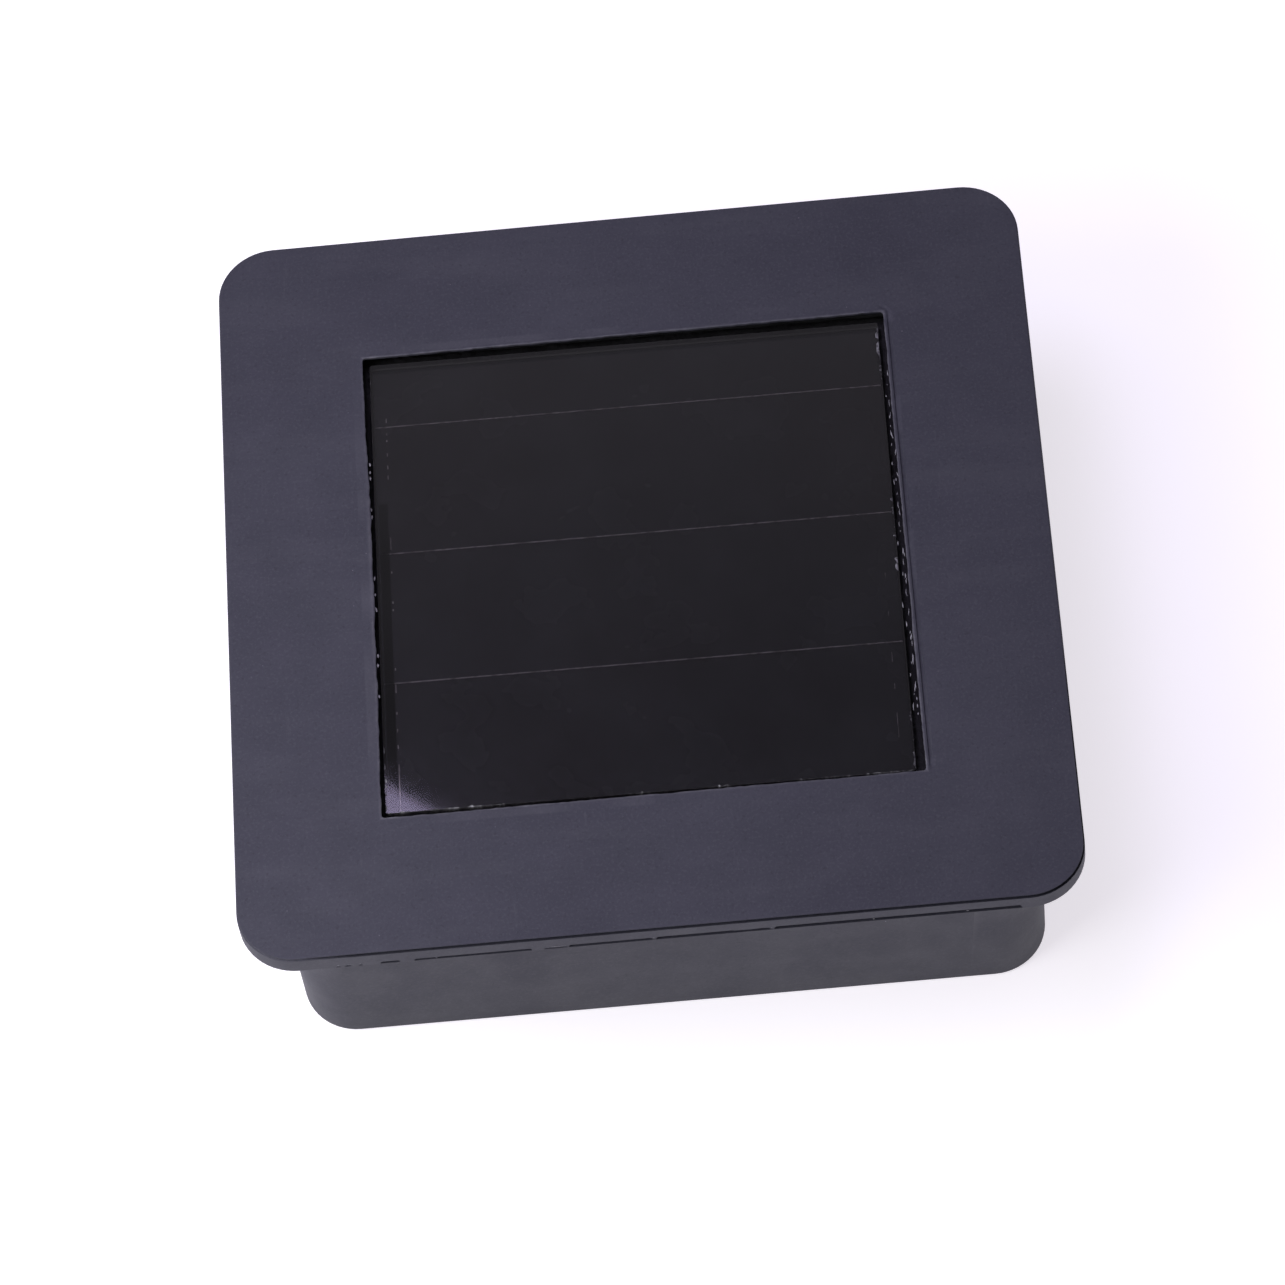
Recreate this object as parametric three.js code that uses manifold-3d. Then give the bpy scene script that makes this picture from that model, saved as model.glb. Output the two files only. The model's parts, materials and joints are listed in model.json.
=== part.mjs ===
// Solar attic fan: a flanged cover with a thin-film solar pane set in its window, over a square
// housing with a grilled intake and an axial fan in its floor and exhaust slots under the eave.
// Millimetres, +Z up. The origin is the centre of the housing's underside.

import * as THREE from 'three';
import { mergeVertices } from 'three/addons/utils/BufferGeometryUtils.js';
import Module from 'manifold-3d';

const wasm = await Module();
wasm.setup();

// ---------------------------------------------------------------- driving dimensions

// Cover: a flat plate with a shallow rim, a seam line under its top edge and a square window
const COVER_SIZE = 150;
const COVER_CORNER = 10.5;
const COVER_TOP = 44;
const COVER_EDGE = 4.2;
const COVER_PLATE = 2.8;
const COVER_RIM = 2.4;
const COVER_LIP = 1.6;
const COVER_LIP_DEPTH = 2.6;
const SEAM_BELOW_TOP = 0.35;
const SEAM_HEIGHT = 0.5;
const SEAM_DEPTH = 0.45;
const WINDOW_SIZE = 97;
const WINDOW_SHIFT_Y = 0.3;
const WINDOW_CORNER = 0.6;
const WINDOW_UNDERCUT = 1.7;
const WINDOW_LAND = 0.6;

// Housing: a square tub under the cover
const HOUSING_SIZE = 135.8;
const HOUSING_CORNER = 10;
const HOUSING_BOTTOM_ROUND = 0.9;
const WALL = 2.4;
const FLOOR = 2.4;
const FIT_GAP = 0.3;

// One row of exhaust slots, the same on all four walls, hidden from above by the overhang
const SLOT_COLUMNS = 3;
const SLOT_PITCH = 38;
const SLOT_WIDTH = 34.5;
const SLOT_BOTTOM = 30;
const SLOT_HEIGHT = 5.6;

// Bosses: the radius of each and of the hole that it holds, and their heights
const CORNER_BOSS = { radius: 5.2, top: 6, hole: 1.75, headHole: 3.4, headHoleTop: 3 };
const GRILLE_BOSS = { radius: 3.2, top: 9.5, hole: 0.95, holeTop: 8.6 };
const BRACKET_BOSS = { radius: 3.5, hole: 1.1, holeBottom: 9 };
const DECK_BOSS = { radius: 3.5, top: 10, hole: 1.3, holeTop: 8.8 };
const COVER_POST = { radius: 3.8, bottom: 6.3, hole: 1.3, holeTop: 18 };
const TRAY_POST = { radius: 2.7, hole: 0.85, holeTop: 43.2 };

// Intake duct, grille and impeller
const DUCT_RADIUS = 43.5;
const DUCT_WALL = 2.2;
const DUCT_TOP = 18;
const PAD_RADIUS = 53;
const PAD_TOP = 4.8;
const GRILLE_RADIUS = 49;
const GRILLE_BOTTOM = 0.2;
const GRILLE_THICK = 2;
const GRILLE_FLANGE = 41;
const GRILLE_DISC = 13;
const GRILLE_RINGS = [16, 21, 26, 31, 36];
const GRILLE_BAR = 2;
const GRILLE_SPOKES = 6;
const BLADE_COUNT = 5;
const BLADE_TIP = 42.3;
const HUB_RADIUS = 13;
const HUB_BOTTOM = 6;
const HUB_TOP = 17;
const HUB_WALL = 1.5;
const HUB_SKIN = 3.2;
const BLADE_ROOT = { pitch: 40, chord: 15, thick: 1.7 };
const BLADE_END = { pitch: 21, chord: 26, thick: 1.1 };
const BLADE_CAMBER = 0.07;
const BLADE_SWEEP = THREE.MathUtils.degToRad(10);
const BLADE_STATIONS = [12.1, 19, 25, 31, 37, BLADE_TIP];

// Solar pane, glued in by hand and so turned a little in its window
const PANE_SIZE = 94.7;
const PANE_THICK = 1.6;
const PANE_BELOW_TOP = 1.2;
const PANE_TURN = THREE.MathUtils.degToRad(-0.35);
const PANE_X = -0.26;
const PANE_Y = 0.18;
const STRIP_EDGES = [47, 34.6, 7.3, -19.9, -47];
const SCRIBE = 0.25;
const STRIP_THICK = 0.2;
const COAT_THICK = 0.3;
const LAYER_GAP = 0.05;
const TAPE_INNER = 39;
const TAPE_OUTER = 45;
const BEAD_OUTER = 50.2;
const TAB_HALF_X = 2.2;
const TAB_HALF_Y = 1.6;
const TAB_THICK = 0.3;

// Tray that carries the pane under the window
const TRAY_SIZE = 108;
const TRAY_BOTTOM = 38;
const TRAY_FLOOR = 1.6;
const TRAY_RIM = 3;
const TRAY_TOP = 40.4;
const TRAY_SCREW = 57.5;
const TRAY_EAR_HALF = 4.5;
const LEAD_HOLE_RADIUS = 3;
const LEAD_HOLE_Y = 34;
const LEAD_RADIUS = 0.7;

// Motor, hung shaft down over the impeller
const MOTOR_RADIUS = 12.2;
const MOTOR_BOTTOM = 20.6;
const MOTOR_TOP = 32.8;
const SHAFT_RADIUS = 1;
const TERMINAL_Y = 7.2;
const BRACKET_BOTTOM = 18.3;
const BRACKET_THICK = 2;
const BRACKET_BOLT = 50;
const BRACKET_PLATE = 15;
const BRACKET_ARM_HALF = 3.2;
const BRACKET_CUP = { inner: 12.6, outer: 14.4, height: 5.5 };
const BRACKET_RIB = { from: 13.2, to: 43, half: 0.9, height: 3 };
const SHAFT_END = 34.6;
const MAGNET = { outer: 11.2, inner: 9.3, bottom: 22, top: 31, reach: THREE.MathUtils.degToRad(65) };
const POLE_SHOE = { outer: 8.8, inner: 7.4, reach: THREE.MathUtils.degToRad(50) };
const POLE_NECK_HALF = 1.1;
const CORE_BOTTOM = 23.5;
const CORE_TOP = 28.5;
const POLE_COUNT = 3;
const MOTOR_SCREW_X = 8.5;

// Fastener places
const COVER_SCREW_XY = 56.5;
const GRILLE_SCREW = 46.6;
const DECK_HOLE = 59.5;

// Sides of the round pieces
const LARGE = 36;
const MEDIUM = 24;
const SMALL = 16;
const BOSS_SIDES = 12;
const SCREW_SIDES = 10;
const HOLE_SIDES = 8;

// How far a cutter runs past the face that it opens, and how deep joined pieces overlap
const PAST = 1;
const BITE = 0.5;

// ---------------------------------------------------------------- materials

function finish(color, roughness, metalness = 0) {
  return new THREE.MeshStandardMaterial({ color, roughness, metalness });
}

const SHELL = finish(0x464450, 0.62);
const BLACK_PLASTIC = finish(0x1b1b1e, 0.55);
const WHITE_PLASTIC = finish(0xd8d6cf, 0.5);
const GLASS = finish(0x121317, 0.08);
const SILICON = finish(0x1a1518, 0.3);
const COATING = finish(0x3a3d42, 0.8);
const FOAM = finish(0x141414, 0.95);
const SEALANT = finish(0x0c0c0d, 0.25);
const STEEL = finish(0xb9bbbd, 0.35, 1);
const ZINC = finish(0xa8acb0, 0.4, 1);
const COPPER = finish(0xb5653a, 0.35, 1);
const BRASS = finish(0xb89a52, 0.35, 1);
const BRONZE = finish(0x8c6b3f, 0.6, 1);
const FERRITE = finish(0x2c2b2c, 0.7);
const RED_PVC = finish(0xb3201c, 0.45);
const BLACK_PVC = finish(0x161616, 0.45);

// ---------------------------------------------------------------- solids

function solidOf(geometry) {
  const bare = geometry.index ? geometry.toNonIndexed() : geometry;
  bare.deleteAttribute('normal');
  bare.deleteAttribute('uv');
  const merged = mergeVertices(bare, 1e-4);
  const vertProperties = new Float32Array(merged.attributes.position.array);
  const triVerts = new Uint32Array(merged.index.array);
  return new wasm.Manifold(new wasm.Mesh({ numProp: 3, vertProperties, triVerts }));
}

function geometryOf(solid) {
  const { vertProperties, triVerts } = solid.getMesh();
  const geometry = new THREE.BufferGeometry();
  geometry.setAttribute('position', new THREE.BufferAttribute(new Float32Array(vertProperties), 3));
  geometry.setIndex(new THREE.BufferAttribute(new Uint32Array(triVerts), 1));
  geometry.computeVertexNormals();
  return geometry;
}

function joined(solids) {
  return solids.reduce((sum, next) => sum.add(next));
}

function without(solid, cutters) {
  return cutters.reduce((left, cutter) => left.subtract(cutter), solid);
}

// A block between two corners
function block(x0, x1, y0, y1, z0, z1) {
  const geometry = new THREE.BoxGeometry(x1 - x0, y1 - y0, z1 - z0);
  geometry.translate((x0 + x1) / 2, (y0 + y1) / 2, (z0 + z1) / 2);
  return solidOf(geometry);
}

// A round rod standing along Z; bottom and top radii may differ
function rod(radius, z0, z1, x = 0, y = 0, sides = SMALL, topRadius = radius) {
  const geometry = new THREE.CylinderGeometry(topRadius, radius, z1 - z0, sides);
  geometry.rotateX(Math.PI / 2);
  geometry.translate(x, y, (z0 + z1) / 2);
  return solidOf(geometry);
}

// A turned piece from [radius, height] pairs; the outline starts and ends on the axis or closes
function turned(outline, sides = SMALL) {
  const points = outline.map(([radius, z]) => new THREE.Vector2(radius, z));
  const geometry = new THREE.LatheGeometry(points, sides);
  geometry.rotateX(Math.PI / 2);
  return solidOf(geometry);
}

// A ring between two radii
function ring(inner, outer, z0, z1, sides = SMALL) {
  return turned([[inner, z0], [outer, z0], [outer, z1], [inner, z1], [inner, z0]], sides);
}

// The outline of a square with round corners, counter-clockwise
function squareOutline(half, radius, steps) {
  const points = [];
  for (let corner = 0; corner < 4; corner += 1) {
    const start = (corner * Math.PI) / 2;
    const cx = (half - radius) * Math.SQRT2 * Math.cos(start + Math.PI / 4);
    const cy = (half - radius) * Math.SQRT2 * Math.sin(start + Math.PI / 4);
    for (let step = 0; step <= steps; step += 1) {
      const angle = start + (step / steps) * (Math.PI / 2);
      points.push([cx + radius * Math.cos(angle), cy + radius * Math.sin(angle)]);
    }
  }
  return points;
}

// A square block with round corners whose size changes from level to level, [z, half, radius]
function squareStack(levels, steps = 6) {
  const loops = levels.map(([, half, radius]) => squareOutline(half, radius, steps));
  const count = loops[0].length;
  const positions = [];
  loops.forEach((loop, level) => loop.forEach(([x, y]) => positions.push(x, y, levels[level][0])));
  const bottomMiddle = positions.length / 3;
  positions.push(0, 0, levels[0][0]);
  positions.push(0, 0, levels[levels.length - 1][0]);
  const index = [];
  for (let side = 0; side < count; side += 1) {
    const next = (side + 1) % count;
    index.push(bottomMiddle, next, side);
    for (let level = 0; level < loops.length - 1; level += 1) {
      const low = level * count;
      const high = low + count;
      index.push(low + side, low + next, high + next);
      index.push(low + side, high + next, high + side);
    }
    const top = (loops.length - 1) * count;
    index.push(bottomMiddle + 1, top + side, top + next);
  }
  const geometry = new THREE.BufferGeometry();
  geometry.setAttribute('position', new THREE.Float32BufferAttribute(positions, 3));
  geometry.setIndex(index);
  return solidOf(geometry);
}

function squareFrame(innerHalf, innerRadius, outerHalf, outerRadius, z0, z1, steps = 4) {
  const outside = squareStack([[z0, outerHalf, outerRadius], [z1, outerHalf, outerRadius]], steps);
  const inside = squareStack([[z0 - 1, innerHalf, innerRadius], [z1 + 1, innerHalf, innerRadius]],
    steps);
  return outside.subtract(inside);
}

// The same piece at each of the given places, [x, y]
function copies(places, make) {
  return places.map(([x, y]) => make(x, y));
}

function around(radius, count, firstAngle) {
  const angles = Array.from({ length: count }, (_, k) => firstAngle + (k * 2 * Math.PI) / count);
  return angles.map((angle) => [radius * Math.cos(angle), radius * Math.sin(angle)]);
}

// Round bosses and small holes at each of the given places
function bosses(places, radius, z0, z1) {
  return copies(places, (x, y) => rod(radius, z0, z1, x, y, BOSS_SIDES));
}

function holes(places, radius, z0, z1) {
  return copies(places, (x, y) => rod(radius, z0, z1, x, y, HOLE_SIDES));
}

// A solid turned about the Z axis
function spun(solid, angle) {
  return solid.rotate([0, 0, THREE.MathUtils.radToDeg(angle)]);
}

const CORNERS = around(COVER_SCREW_XY * Math.SQRT2, 4, Math.PI / 4);
const GRILLE_BOLTS = around(GRILLE_SCREW, 4, 0);
const BRACKET_BOLTS = around(BRACKET_BOLT, 4, Math.PI / 4);
const TRAY_BOLTS = around(TRAY_SCREW, 4, 0);
const DECK_BOLTS = around(DECK_HOLE, 4, 0);
const MOTOR_BOLTS = [[MOTOR_SCREW_X, 0], [-MOTOR_SCREW_X, 0]];

// ---------------------------------------------------------------- the group

const group = new THREE.Group();

function addPiece(name, solid, material, parent = group) {
  const mesh = new THREE.Mesh(geometryOf(solid), material);
  mesh.name = name;
  parent.add(mesh);
}

// ---------------------------------------------------------------- housing

function wallSlots() {
  const half = HOUSING_SIZE / 2;
  const first = (-(SLOT_COLUMNS - 1) / 2) * SLOT_PITCH;
  const oneWall = Array.from({ length: SLOT_COLUMNS }, (_, k) => {
    const y = first + k * SLOT_PITCH;
    return block(half - WALL - PAST, half + PAST, y - SLOT_WIDTH / 2, y + SLOT_WIDTH / 2,
      SLOT_BOTTOM, SLOT_BOTTOM + SLOT_HEIGHT);
  });
  return [0, 1, 2, 3].flatMap((side) => oneWall.map((slot) => spun(slot, (side * Math.PI) / 2)));
}

function housing() {
  const half = HOUSING_SIZE / 2;
  const round = HOUSING_BOTTOM_ROUND;
  const top = COVER_TOP - COVER_PLATE - FIT_GAP;
  const shell = squareStack([
    [0, half - round, HOUSING_CORNER - round],
    [round * 0.3, half - round * 0.3, HOUSING_CORNER - round * 0.3],
    [round, half, HOUSING_CORNER],
    [top, half, HOUSING_CORNER],
  ]);
  const inside = squareStack([
    [FLOOR, half - WALL, HOUSING_CORNER - WALL],
    [top + PAST, half - WALL, HOUSING_CORNER - WALL],
  ]);
  const inFloor = FLOOR / 2;
  const body = joined([
    shell.subtract(inside),
    rod(PAD_RADIUS, inFloor, PAD_TOP, 0, 0, LARGE),
    rod(DUCT_RADIUS + DUCT_WALL, inFloor, DUCT_TOP, 0, 0, LARGE),
    ...bosses(GRILLE_BOLTS, GRILLE_BOSS.radius, inFloor, GRILLE_BOSS.top),
    ...bosses(BRACKET_BOLTS, BRACKET_BOSS.radius, inFloor, DUCT_TOP),
    ...bosses(CORNERS, CORNER_BOSS.radius, inFloor, CORNER_BOSS.top),
    ...bosses(DECK_BOLTS, DECK_BOSS.radius, inFloor, DECK_BOSS.top),
  ]);
  return without(body, [
    rod(DUCT_RADIUS, -PAST, DUCT_TOP + PAST, 0, 0, LARGE),
    rod(GRILLE_RADIUS + FIT_GAP, -PAST, GRILLE_BOTTOM + GRILLE_THICK + 0.2, 0, 0, LARGE),
    ...holes(GRILLE_BOLTS, GRILLE_BOSS.hole, 0, GRILLE_BOSS.holeTop),
    ...holes(BRACKET_BOLTS, BRACKET_BOSS.hole, BRACKET_BOSS.holeBottom, DUCT_TOP + PAST),
    ...bosses(CORNERS, CORNER_BOSS.headHole, -PAST, CORNER_BOSS.headHoleTop),
    ...bosses(CORNERS, CORNER_BOSS.hole, CORNER_BOSS.headHoleTop - PAST, CORNER_BOSS.top + PAST),
    ...holes(DECK_BOLTS, DECK_BOSS.hole, -PAST, DECK_BOSS.holeTop),
    ...wallSlots(),
  ]);
}

// ---------------------------------------------------------------- cover

function topCover() {
  const half = COVER_SIZE / 2;
  const bottom = COVER_TOP - COVER_EDGE;
  const underside = COVER_TOP - COVER_PLATE;
  const seamTop = COVER_TOP - SEAM_BELOW_TOP;
  const seamBottom = seamTop - SEAM_HEIGHT;
  const level = (z, inset) => [z, half - inset, COVER_CORNER - inset];
  const plate = squareStack([
    level(bottom, 0.25),
    level(bottom + 0.25, 0),
    level(seamBottom, 0),
    level(seamBottom + 0.1, SEAM_DEPTH),
    level(seamTop - 0.1, SEAM_DEPTH),
    level(seamTop, 0.05),
    level(COVER_TOP, 0.25),
  ]);
  const rimInside = half - COVER_RIM;
  const recess = squareStack([
    [bottom - PAST, rimInside, COVER_CORNER - COVER_RIM],
    [underside, rimInside, COVER_CORNER - COVER_RIM],
  ]);
  const lipOuter = HOUSING_SIZE / 2 - WALL - FIT_GAP;
  const lipRadius = HOUSING_CORNER - WALL - FIT_GAP;
  const lip = squareFrame(lipOuter - COVER_LIP, lipRadius - COVER_LIP, lipOuter, lipRadius,
    underside - COVER_LIP_DEPTH, underside + BITE);
  const bossBottom = TRAY_BOTTOM + TRAY_FLOOR + FIT_GAP;
  const body = joined([
    plate.subtract(recess),
    lip,
    ...bosses(CORNERS, COVER_POST.radius, COVER_POST.bottom, underside + BITE),
    ...bosses(TRAY_BOLTS, TRAY_POST.radius, bossBottom, underside + BITE),
  ]);
  const opening = WINDOW_SIZE / 2;
  const window = squareStack([
    [underside - PAST, opening + WINDOW_UNDERCUT, WINDOW_CORNER],
    [underside, opening + WINDOW_UNDERCUT, WINDOW_CORNER],
    [COVER_TOP - WINDOW_LAND, opening, WINDOW_CORNER],
    [COVER_TOP + PAST, opening, WINDOW_CORNER],
  ], 2).translate([0, WINDOW_SHIFT_Y, 0]);
  return without(body, [
    window,
    ...holes(CORNERS, COVER_POST.hole, COVER_POST.bottom - PAST, COVER_POST.holeTop),
    ...holes(TRAY_BOLTS, TRAY_POST.hole, bossBottom - PAST, TRAY_POST.holeTop),
  ]);
}

// ---------------------------------------------------------------- solar pane and its tray

const PANE_TOP = COVER_TOP - PANE_BELOW_TOP;
const PANE_BOTTOM = PANE_TOP - PANE_THICK;
const STRIP_TOP = PANE_BOTTOM - LAYER_GAP;
const COAT_TOP = STRIP_TOP - STRIP_THICK - LAYER_GAP;
const COAT_BOTTOM = COAT_TOP - COAT_THICK;
const TRAY_SURFACE = TRAY_BOTTOM + TRAY_FLOOR;

function panelTray() {
  const half = TRAY_SIZE / 2;
  const base = squareStack([[TRAY_BOTTOM, half, 4], [TRAY_TOP, half, 4]], 4);
  const ears = [0, 1, 2, 3].map((k) => spun(
    block(half - 2, TRAY_SCREW + 4, -TRAY_EAR_HALF, TRAY_EAR_HALF, TRAY_BOTTOM, TRAY_SURFACE),
    (k * Math.PI) / 2));
  const hollow = squareStack([
    [TRAY_SURFACE, half - TRAY_RIM, 2],
    [TRAY_TOP + PAST, half - TRAY_RIM, 2],
  ], 4);
  return without(joined([base, ...ears]), [
    hollow,
    ...holes(TRAY_BOLTS, 1.2, TRAY_BOTTOM - PAST, TRAY_SURFACE + PAST),
    ...copies([[PANE_X, LEAD_HOLE_Y], [PANE_X, -LEAD_HOLE_Y]],
      (x, y) => rod(LEAD_HOLE_RADIUS, TRAY_BOTTOM - PAST, TRAY_SURFACE + PAST, x, y)),
  ]);
}

function panelPieces() {
  const panel = new THREE.Group();
  panel.position.set(PANE_X, PANE_Y, 0);
  panel.rotation.z = PANE_TURN;
  const half = PANE_SIZE / 2;
  const glass = squareStack([
    [PANE_BOTTOM, half - 0.2, 0.3],
    [PANE_BOTTOM + 0.2, half, 0.5],
    [PANE_TOP - 0.2, half, 0.5],
    [PANE_TOP, half - 0.2, 0.3],
  ], 2);
  addPiece('solar_glass', glass, GLASS, panel);
  for (let k = 0; k < STRIP_EDGES.length - 1; k += 1) {
    const upper = STRIP_EDGES[k] - SCRIBE / 2;
    const lower = STRIP_EDGES[k + 1] + SCRIBE / 2;
    const strip = block(-half + 0.35, half - 0.35, lower, upper, STRIP_TOP - STRIP_THICK, STRIP_TOP);
    addPiece(`silicon_strip_${k + 1}`, strip, SILICON, panel);
  }
  const coat = squareStack([[COAT_BOTTOM, half - 0.15, 0.3], [COAT_TOP, half - 0.15, 0.3]], 2);
  addPiece('panel_back_coat', coat, COATING, panel);
  const tapeBottom = TRAY_SURFACE + 0.1;
  addPiece('panel_tape', squareFrame(TAPE_INNER, 1, TAPE_OUTER, 1, tapeBottom, COAT_BOTTOM - 0.1, 2),
    FOAM, panel);
  const bead = squareFrame(half + FIT_GAP, 0.6, BEAD_OUTER, 1.5, tapeBottom, PANE_BOTTOM - 0.25, 2);
  addPiece('panel_sealant', bead, SEALANT, panel);
  const tabTop = COAT_BOTTOM - LAYER_GAP;
  const tab = (y) => block(-TAB_HALF_X, TAB_HALF_X, y - TAB_HALF_Y, y + TAB_HALF_Y,
    tabTop - TAB_THICK, tabTop);
  addPiece('solder_tab_positive', tab(LEAD_HOLE_Y), COPPER, panel);
  addPiece('solder_tab_negative', tab(-LEAD_HOLE_Y), COPPER, panel);
  return panel;
}

// ---------------------------------------------------------------- fasteners

// A screw pointing up from the underside of its head; the head hangs below z = 0
function panScrew(headRadius, headHeight, shankRadius, length) {
  const body = turned([
    [0, -headHeight],
    [headRadius * 0.75, -headHeight],
    [headRadius, -headHeight * 0.45],
    [headRadius, 0],
    [shankRadius, 0],
    [shankRadius, length - shankRadius],
    [0, length],
  ], SCREW_SIDES);
  return body.subtract(crossRecess(headRadius, -headHeight));
}

function flatScrew(headRadius, headHeight, shankRadius, length) {
  const body = turned([
    [0, -headHeight],
    [headRadius, -headHeight],
    [shankRadius, 0],
    [shankRadius, length - shankRadius],
    [0, length],
  ], SCREW_SIDES);
  return body.subtract(crossRecess(headRadius, -headHeight));
}

// The cross for the driver, cut up into a head whose face is at z
function crossRecess(headRadius, z) {
  const reach = headRadius * 0.55;
  const slot = headRadius * 0.14;
  const arm = block(-reach, reach, -slot, slot, z - 1, z + headRadius * 0.3);
  return arm.add(arm.rotate([0, 0, 90]));
}

function addScrews(prefix, places, screw, z, material, pointsDown = false) {
  places.forEach(([x, y], k) => {
    const turnedScrew = pointsDown ? screw.rotate([180, 0, 0]) : screw;
    addPiece(`${prefix}_${k + 1}`, turnedScrew.translate([x, y, z]), material);
  });
}

// ---------------------------------------------------------------- intake grille

function intakeGrille() {
  const top = GRILLE_BOTTOM + GRILLE_THICK;
  const spokes = Array.from({ length: GRILLE_SPOKES }, (_, k) => spun(
    block(GRILLE_DISC - PAST, GRILLE_FLANGE + PAST, -GRILLE_BAR / 2, GRILLE_BAR / 2, GRILLE_BOTTOM, top),
    ((k + 0.5) * 2 * Math.PI) / GRILLE_SPOKES));
  const body = joined([
    ring(GRILLE_FLANGE, GRILLE_RADIUS, GRILLE_BOTTOM, top, LARGE),
    rod(GRILLE_DISC, GRILLE_BOTTOM, top, 0, 0, MEDIUM),
    ...GRILLE_RINGS.map((r) => ring(r, r + GRILLE_BAR, GRILLE_BOTTOM, top, r < 30 ? MEDIUM : LARGE)),
    ...spokes,
  ]);
  return without(body, [
    ...holes(GRILLE_BOLTS, 1.2, -PAST, top + PAST),
    ...copies(GRILLE_BOLTS, (x, y) => rod(2.4, -0.1, 1.5, x, y, BOSS_SIDES, 1.2)),
  ]);
}

// ---------------------------------------------------------------- impeller

// One blade section at a radius: a thin arched strip, its leading edge low
function bladeSection(radius) {
  const outward = (radius - HUB_RADIUS) / (BLADE_TIP - HUB_RADIUS);
  const between = (key) => THREE.MathUtils.lerp(BLADE_ROOT[key], BLADE_END[key], outward);
  const pitch = THREE.MathUtils.degToRad(between('pitch'));
  const chord = between('chord');
  const camber = BLADE_CAMBER * chord;
  const steps = 6;
  const side = (sign) => Array.from({ length: steps + 1 }, (_, k) => {
    const t = k / steps;
    const along = (t - 0.5) * chord;
    const skin = sign * between('thick') * 0.5 * Math.sqrt(Math.max(0.02, 4 * t * (1 - t)));
    const rise = camber * 4 * t * (1 - t) + skin;
    const forward = -along * Math.cos(pitch) + rise * Math.sin(pitch);
    const up = along * Math.sin(pitch) + rise * Math.cos(pitch);
    return [forward, up];
  });
  return [...side(-1), ...side(1).reverse()];
}

function blade() {
  const middle = (HUB_BOTTOM + HUB_TOP) / 2;
  const positions = [];
  const loops = BLADE_STATIONS.map((radius) => bladeSection(radius));
  loops.forEach((loop, k) => {
    const radius = BLADE_STATIONS[k];
    const lean = (BLADE_SWEEP * (radius - HUB_RADIUS)) / (BLADE_TIP - HUB_RADIUS);
    loop.forEach(([forward, up]) => {
      const angle = lean + forward / radius;
      positions.push(radius * Math.cos(angle), radius * Math.sin(angle), middle + up);
    });
  });
  const count = loops[0].length;
  const index = [];
  const half = count / 2;
  for (let k = 0; k < loops.length - 1; k += 1) {
    for (let side = 0; side < count; side += 1) {
      const next = (side + 1) % count;
      const near = k * count;
      const far = near + count;
      index.push(near + side, far + next, near + next);
      index.push(near + side, far + side, far + next);
    }
  }
  const last = (loops.length - 1) * count;
  for (let k = 0; k < half - 1; k += 1) {
    const a = k;
    const b = k + 1;
    const c = count - 2 - k;
    const d = count - 1 - k;
    index.push(a, b, c);
    index.push(a, c, d);
    index.push(last + a, last + c, last + b);
    index.push(last + a, last + d, last + c);
  }
  const geometry = new THREE.BufferGeometry();
  geometry.setAttribute('position', new THREE.Float32BufferAttribute(positions, 3));
  geometry.setIndex(index);
  return solidOf(geometry);
}

function impeller() {
  const oneBlade = blade();
  const blades = Array.from({ length: BLADE_COUNT }, (_, k) => spun(oneBlade,
    (k * 2 * Math.PI) / BLADE_COUNT));
  const outside = turned([
    [0, HUB_BOTTOM],
    [HUB_RADIUS * 0.6, HUB_BOTTOM + 0.4],
    [HUB_RADIUS * 0.88, HUB_BOTTOM + 1.5],
    [HUB_RADIUS, HUB_BOTTOM + 3.4],
    [HUB_RADIUS, HUB_TOP],
    [0, HUB_TOP],
  ], MEDIUM);
  const cup = ring(3.2, HUB_RADIUS - HUB_WALL, HUB_BOTTOM + HUB_SKIN, HUB_TOP + PAST, MEDIUM);
  const overBoss = rod(4, HUB_TOP - 1.6, HUB_TOP + PAST);
  const bore = rod(SHAFT_RADIUS + 0.15, HUB_BOTTOM + 2, HUB_TOP + PAST);
  return without(joined([outside, ...blades]), [cup, overBoss, bore]);
}

// ---------------------------------------------------------------- motor and bracket

const BRACKET_TOP = BRACKET_BOTTOM + BRACKET_THICK;

function motorBracket() {
  const top = BRACKET_TOP;
  const rib = BRACKET_RIB;
  const cup = BRACKET_CUP;
  const arm = joined([
    block(12, BRACKET_BOLT, -BRACKET_ARM_HALF, BRACKET_ARM_HALF, BRACKET_BOTTOM, top),
    block(rib.from, rib.to, -rib.half, rib.half, top - BITE, top + rib.height),
    rod(4.2, BRACKET_BOTTOM, top, BRACKET_BOLT, 0, BOSS_SIDES),
  ]);
  const arms = [0, 1, 2, 3].map((k) => spun(arm, Math.PI / 4 + (k * Math.PI) / 2));
  const body = joined([
    rod(BRACKET_PLATE, BRACKET_BOTTOM, top, 0, 0, MEDIUM),
    ring(cup.inner, cup.outer, top - BITE, top + cup.height, MEDIUM),
    ...arms,
  ]);
  return without(body, [
    rod(3.5, BRACKET_BOTTOM - PAST, top + PAST),
    rod(cup.inner, top, top + cup.height + PAST, 0, 0, MEDIUM),
    ...holes(MOTOR_BOLTS, 1.1, BRACKET_BOTTOM - PAST, top + PAST),
    ...holes(BRACKET_BOLTS, 1.4, BRACKET_BOTTOM - PAST, top + PAST),
  ]);
}

const BUSH_RADIUS = 2.45;
const BUSH_SEAT = 2.55;
const CAN_WALL = 0.7;
const NOSE_RADIUS = 3.1;
const NOSE_LENGTH = 1.2;

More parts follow.
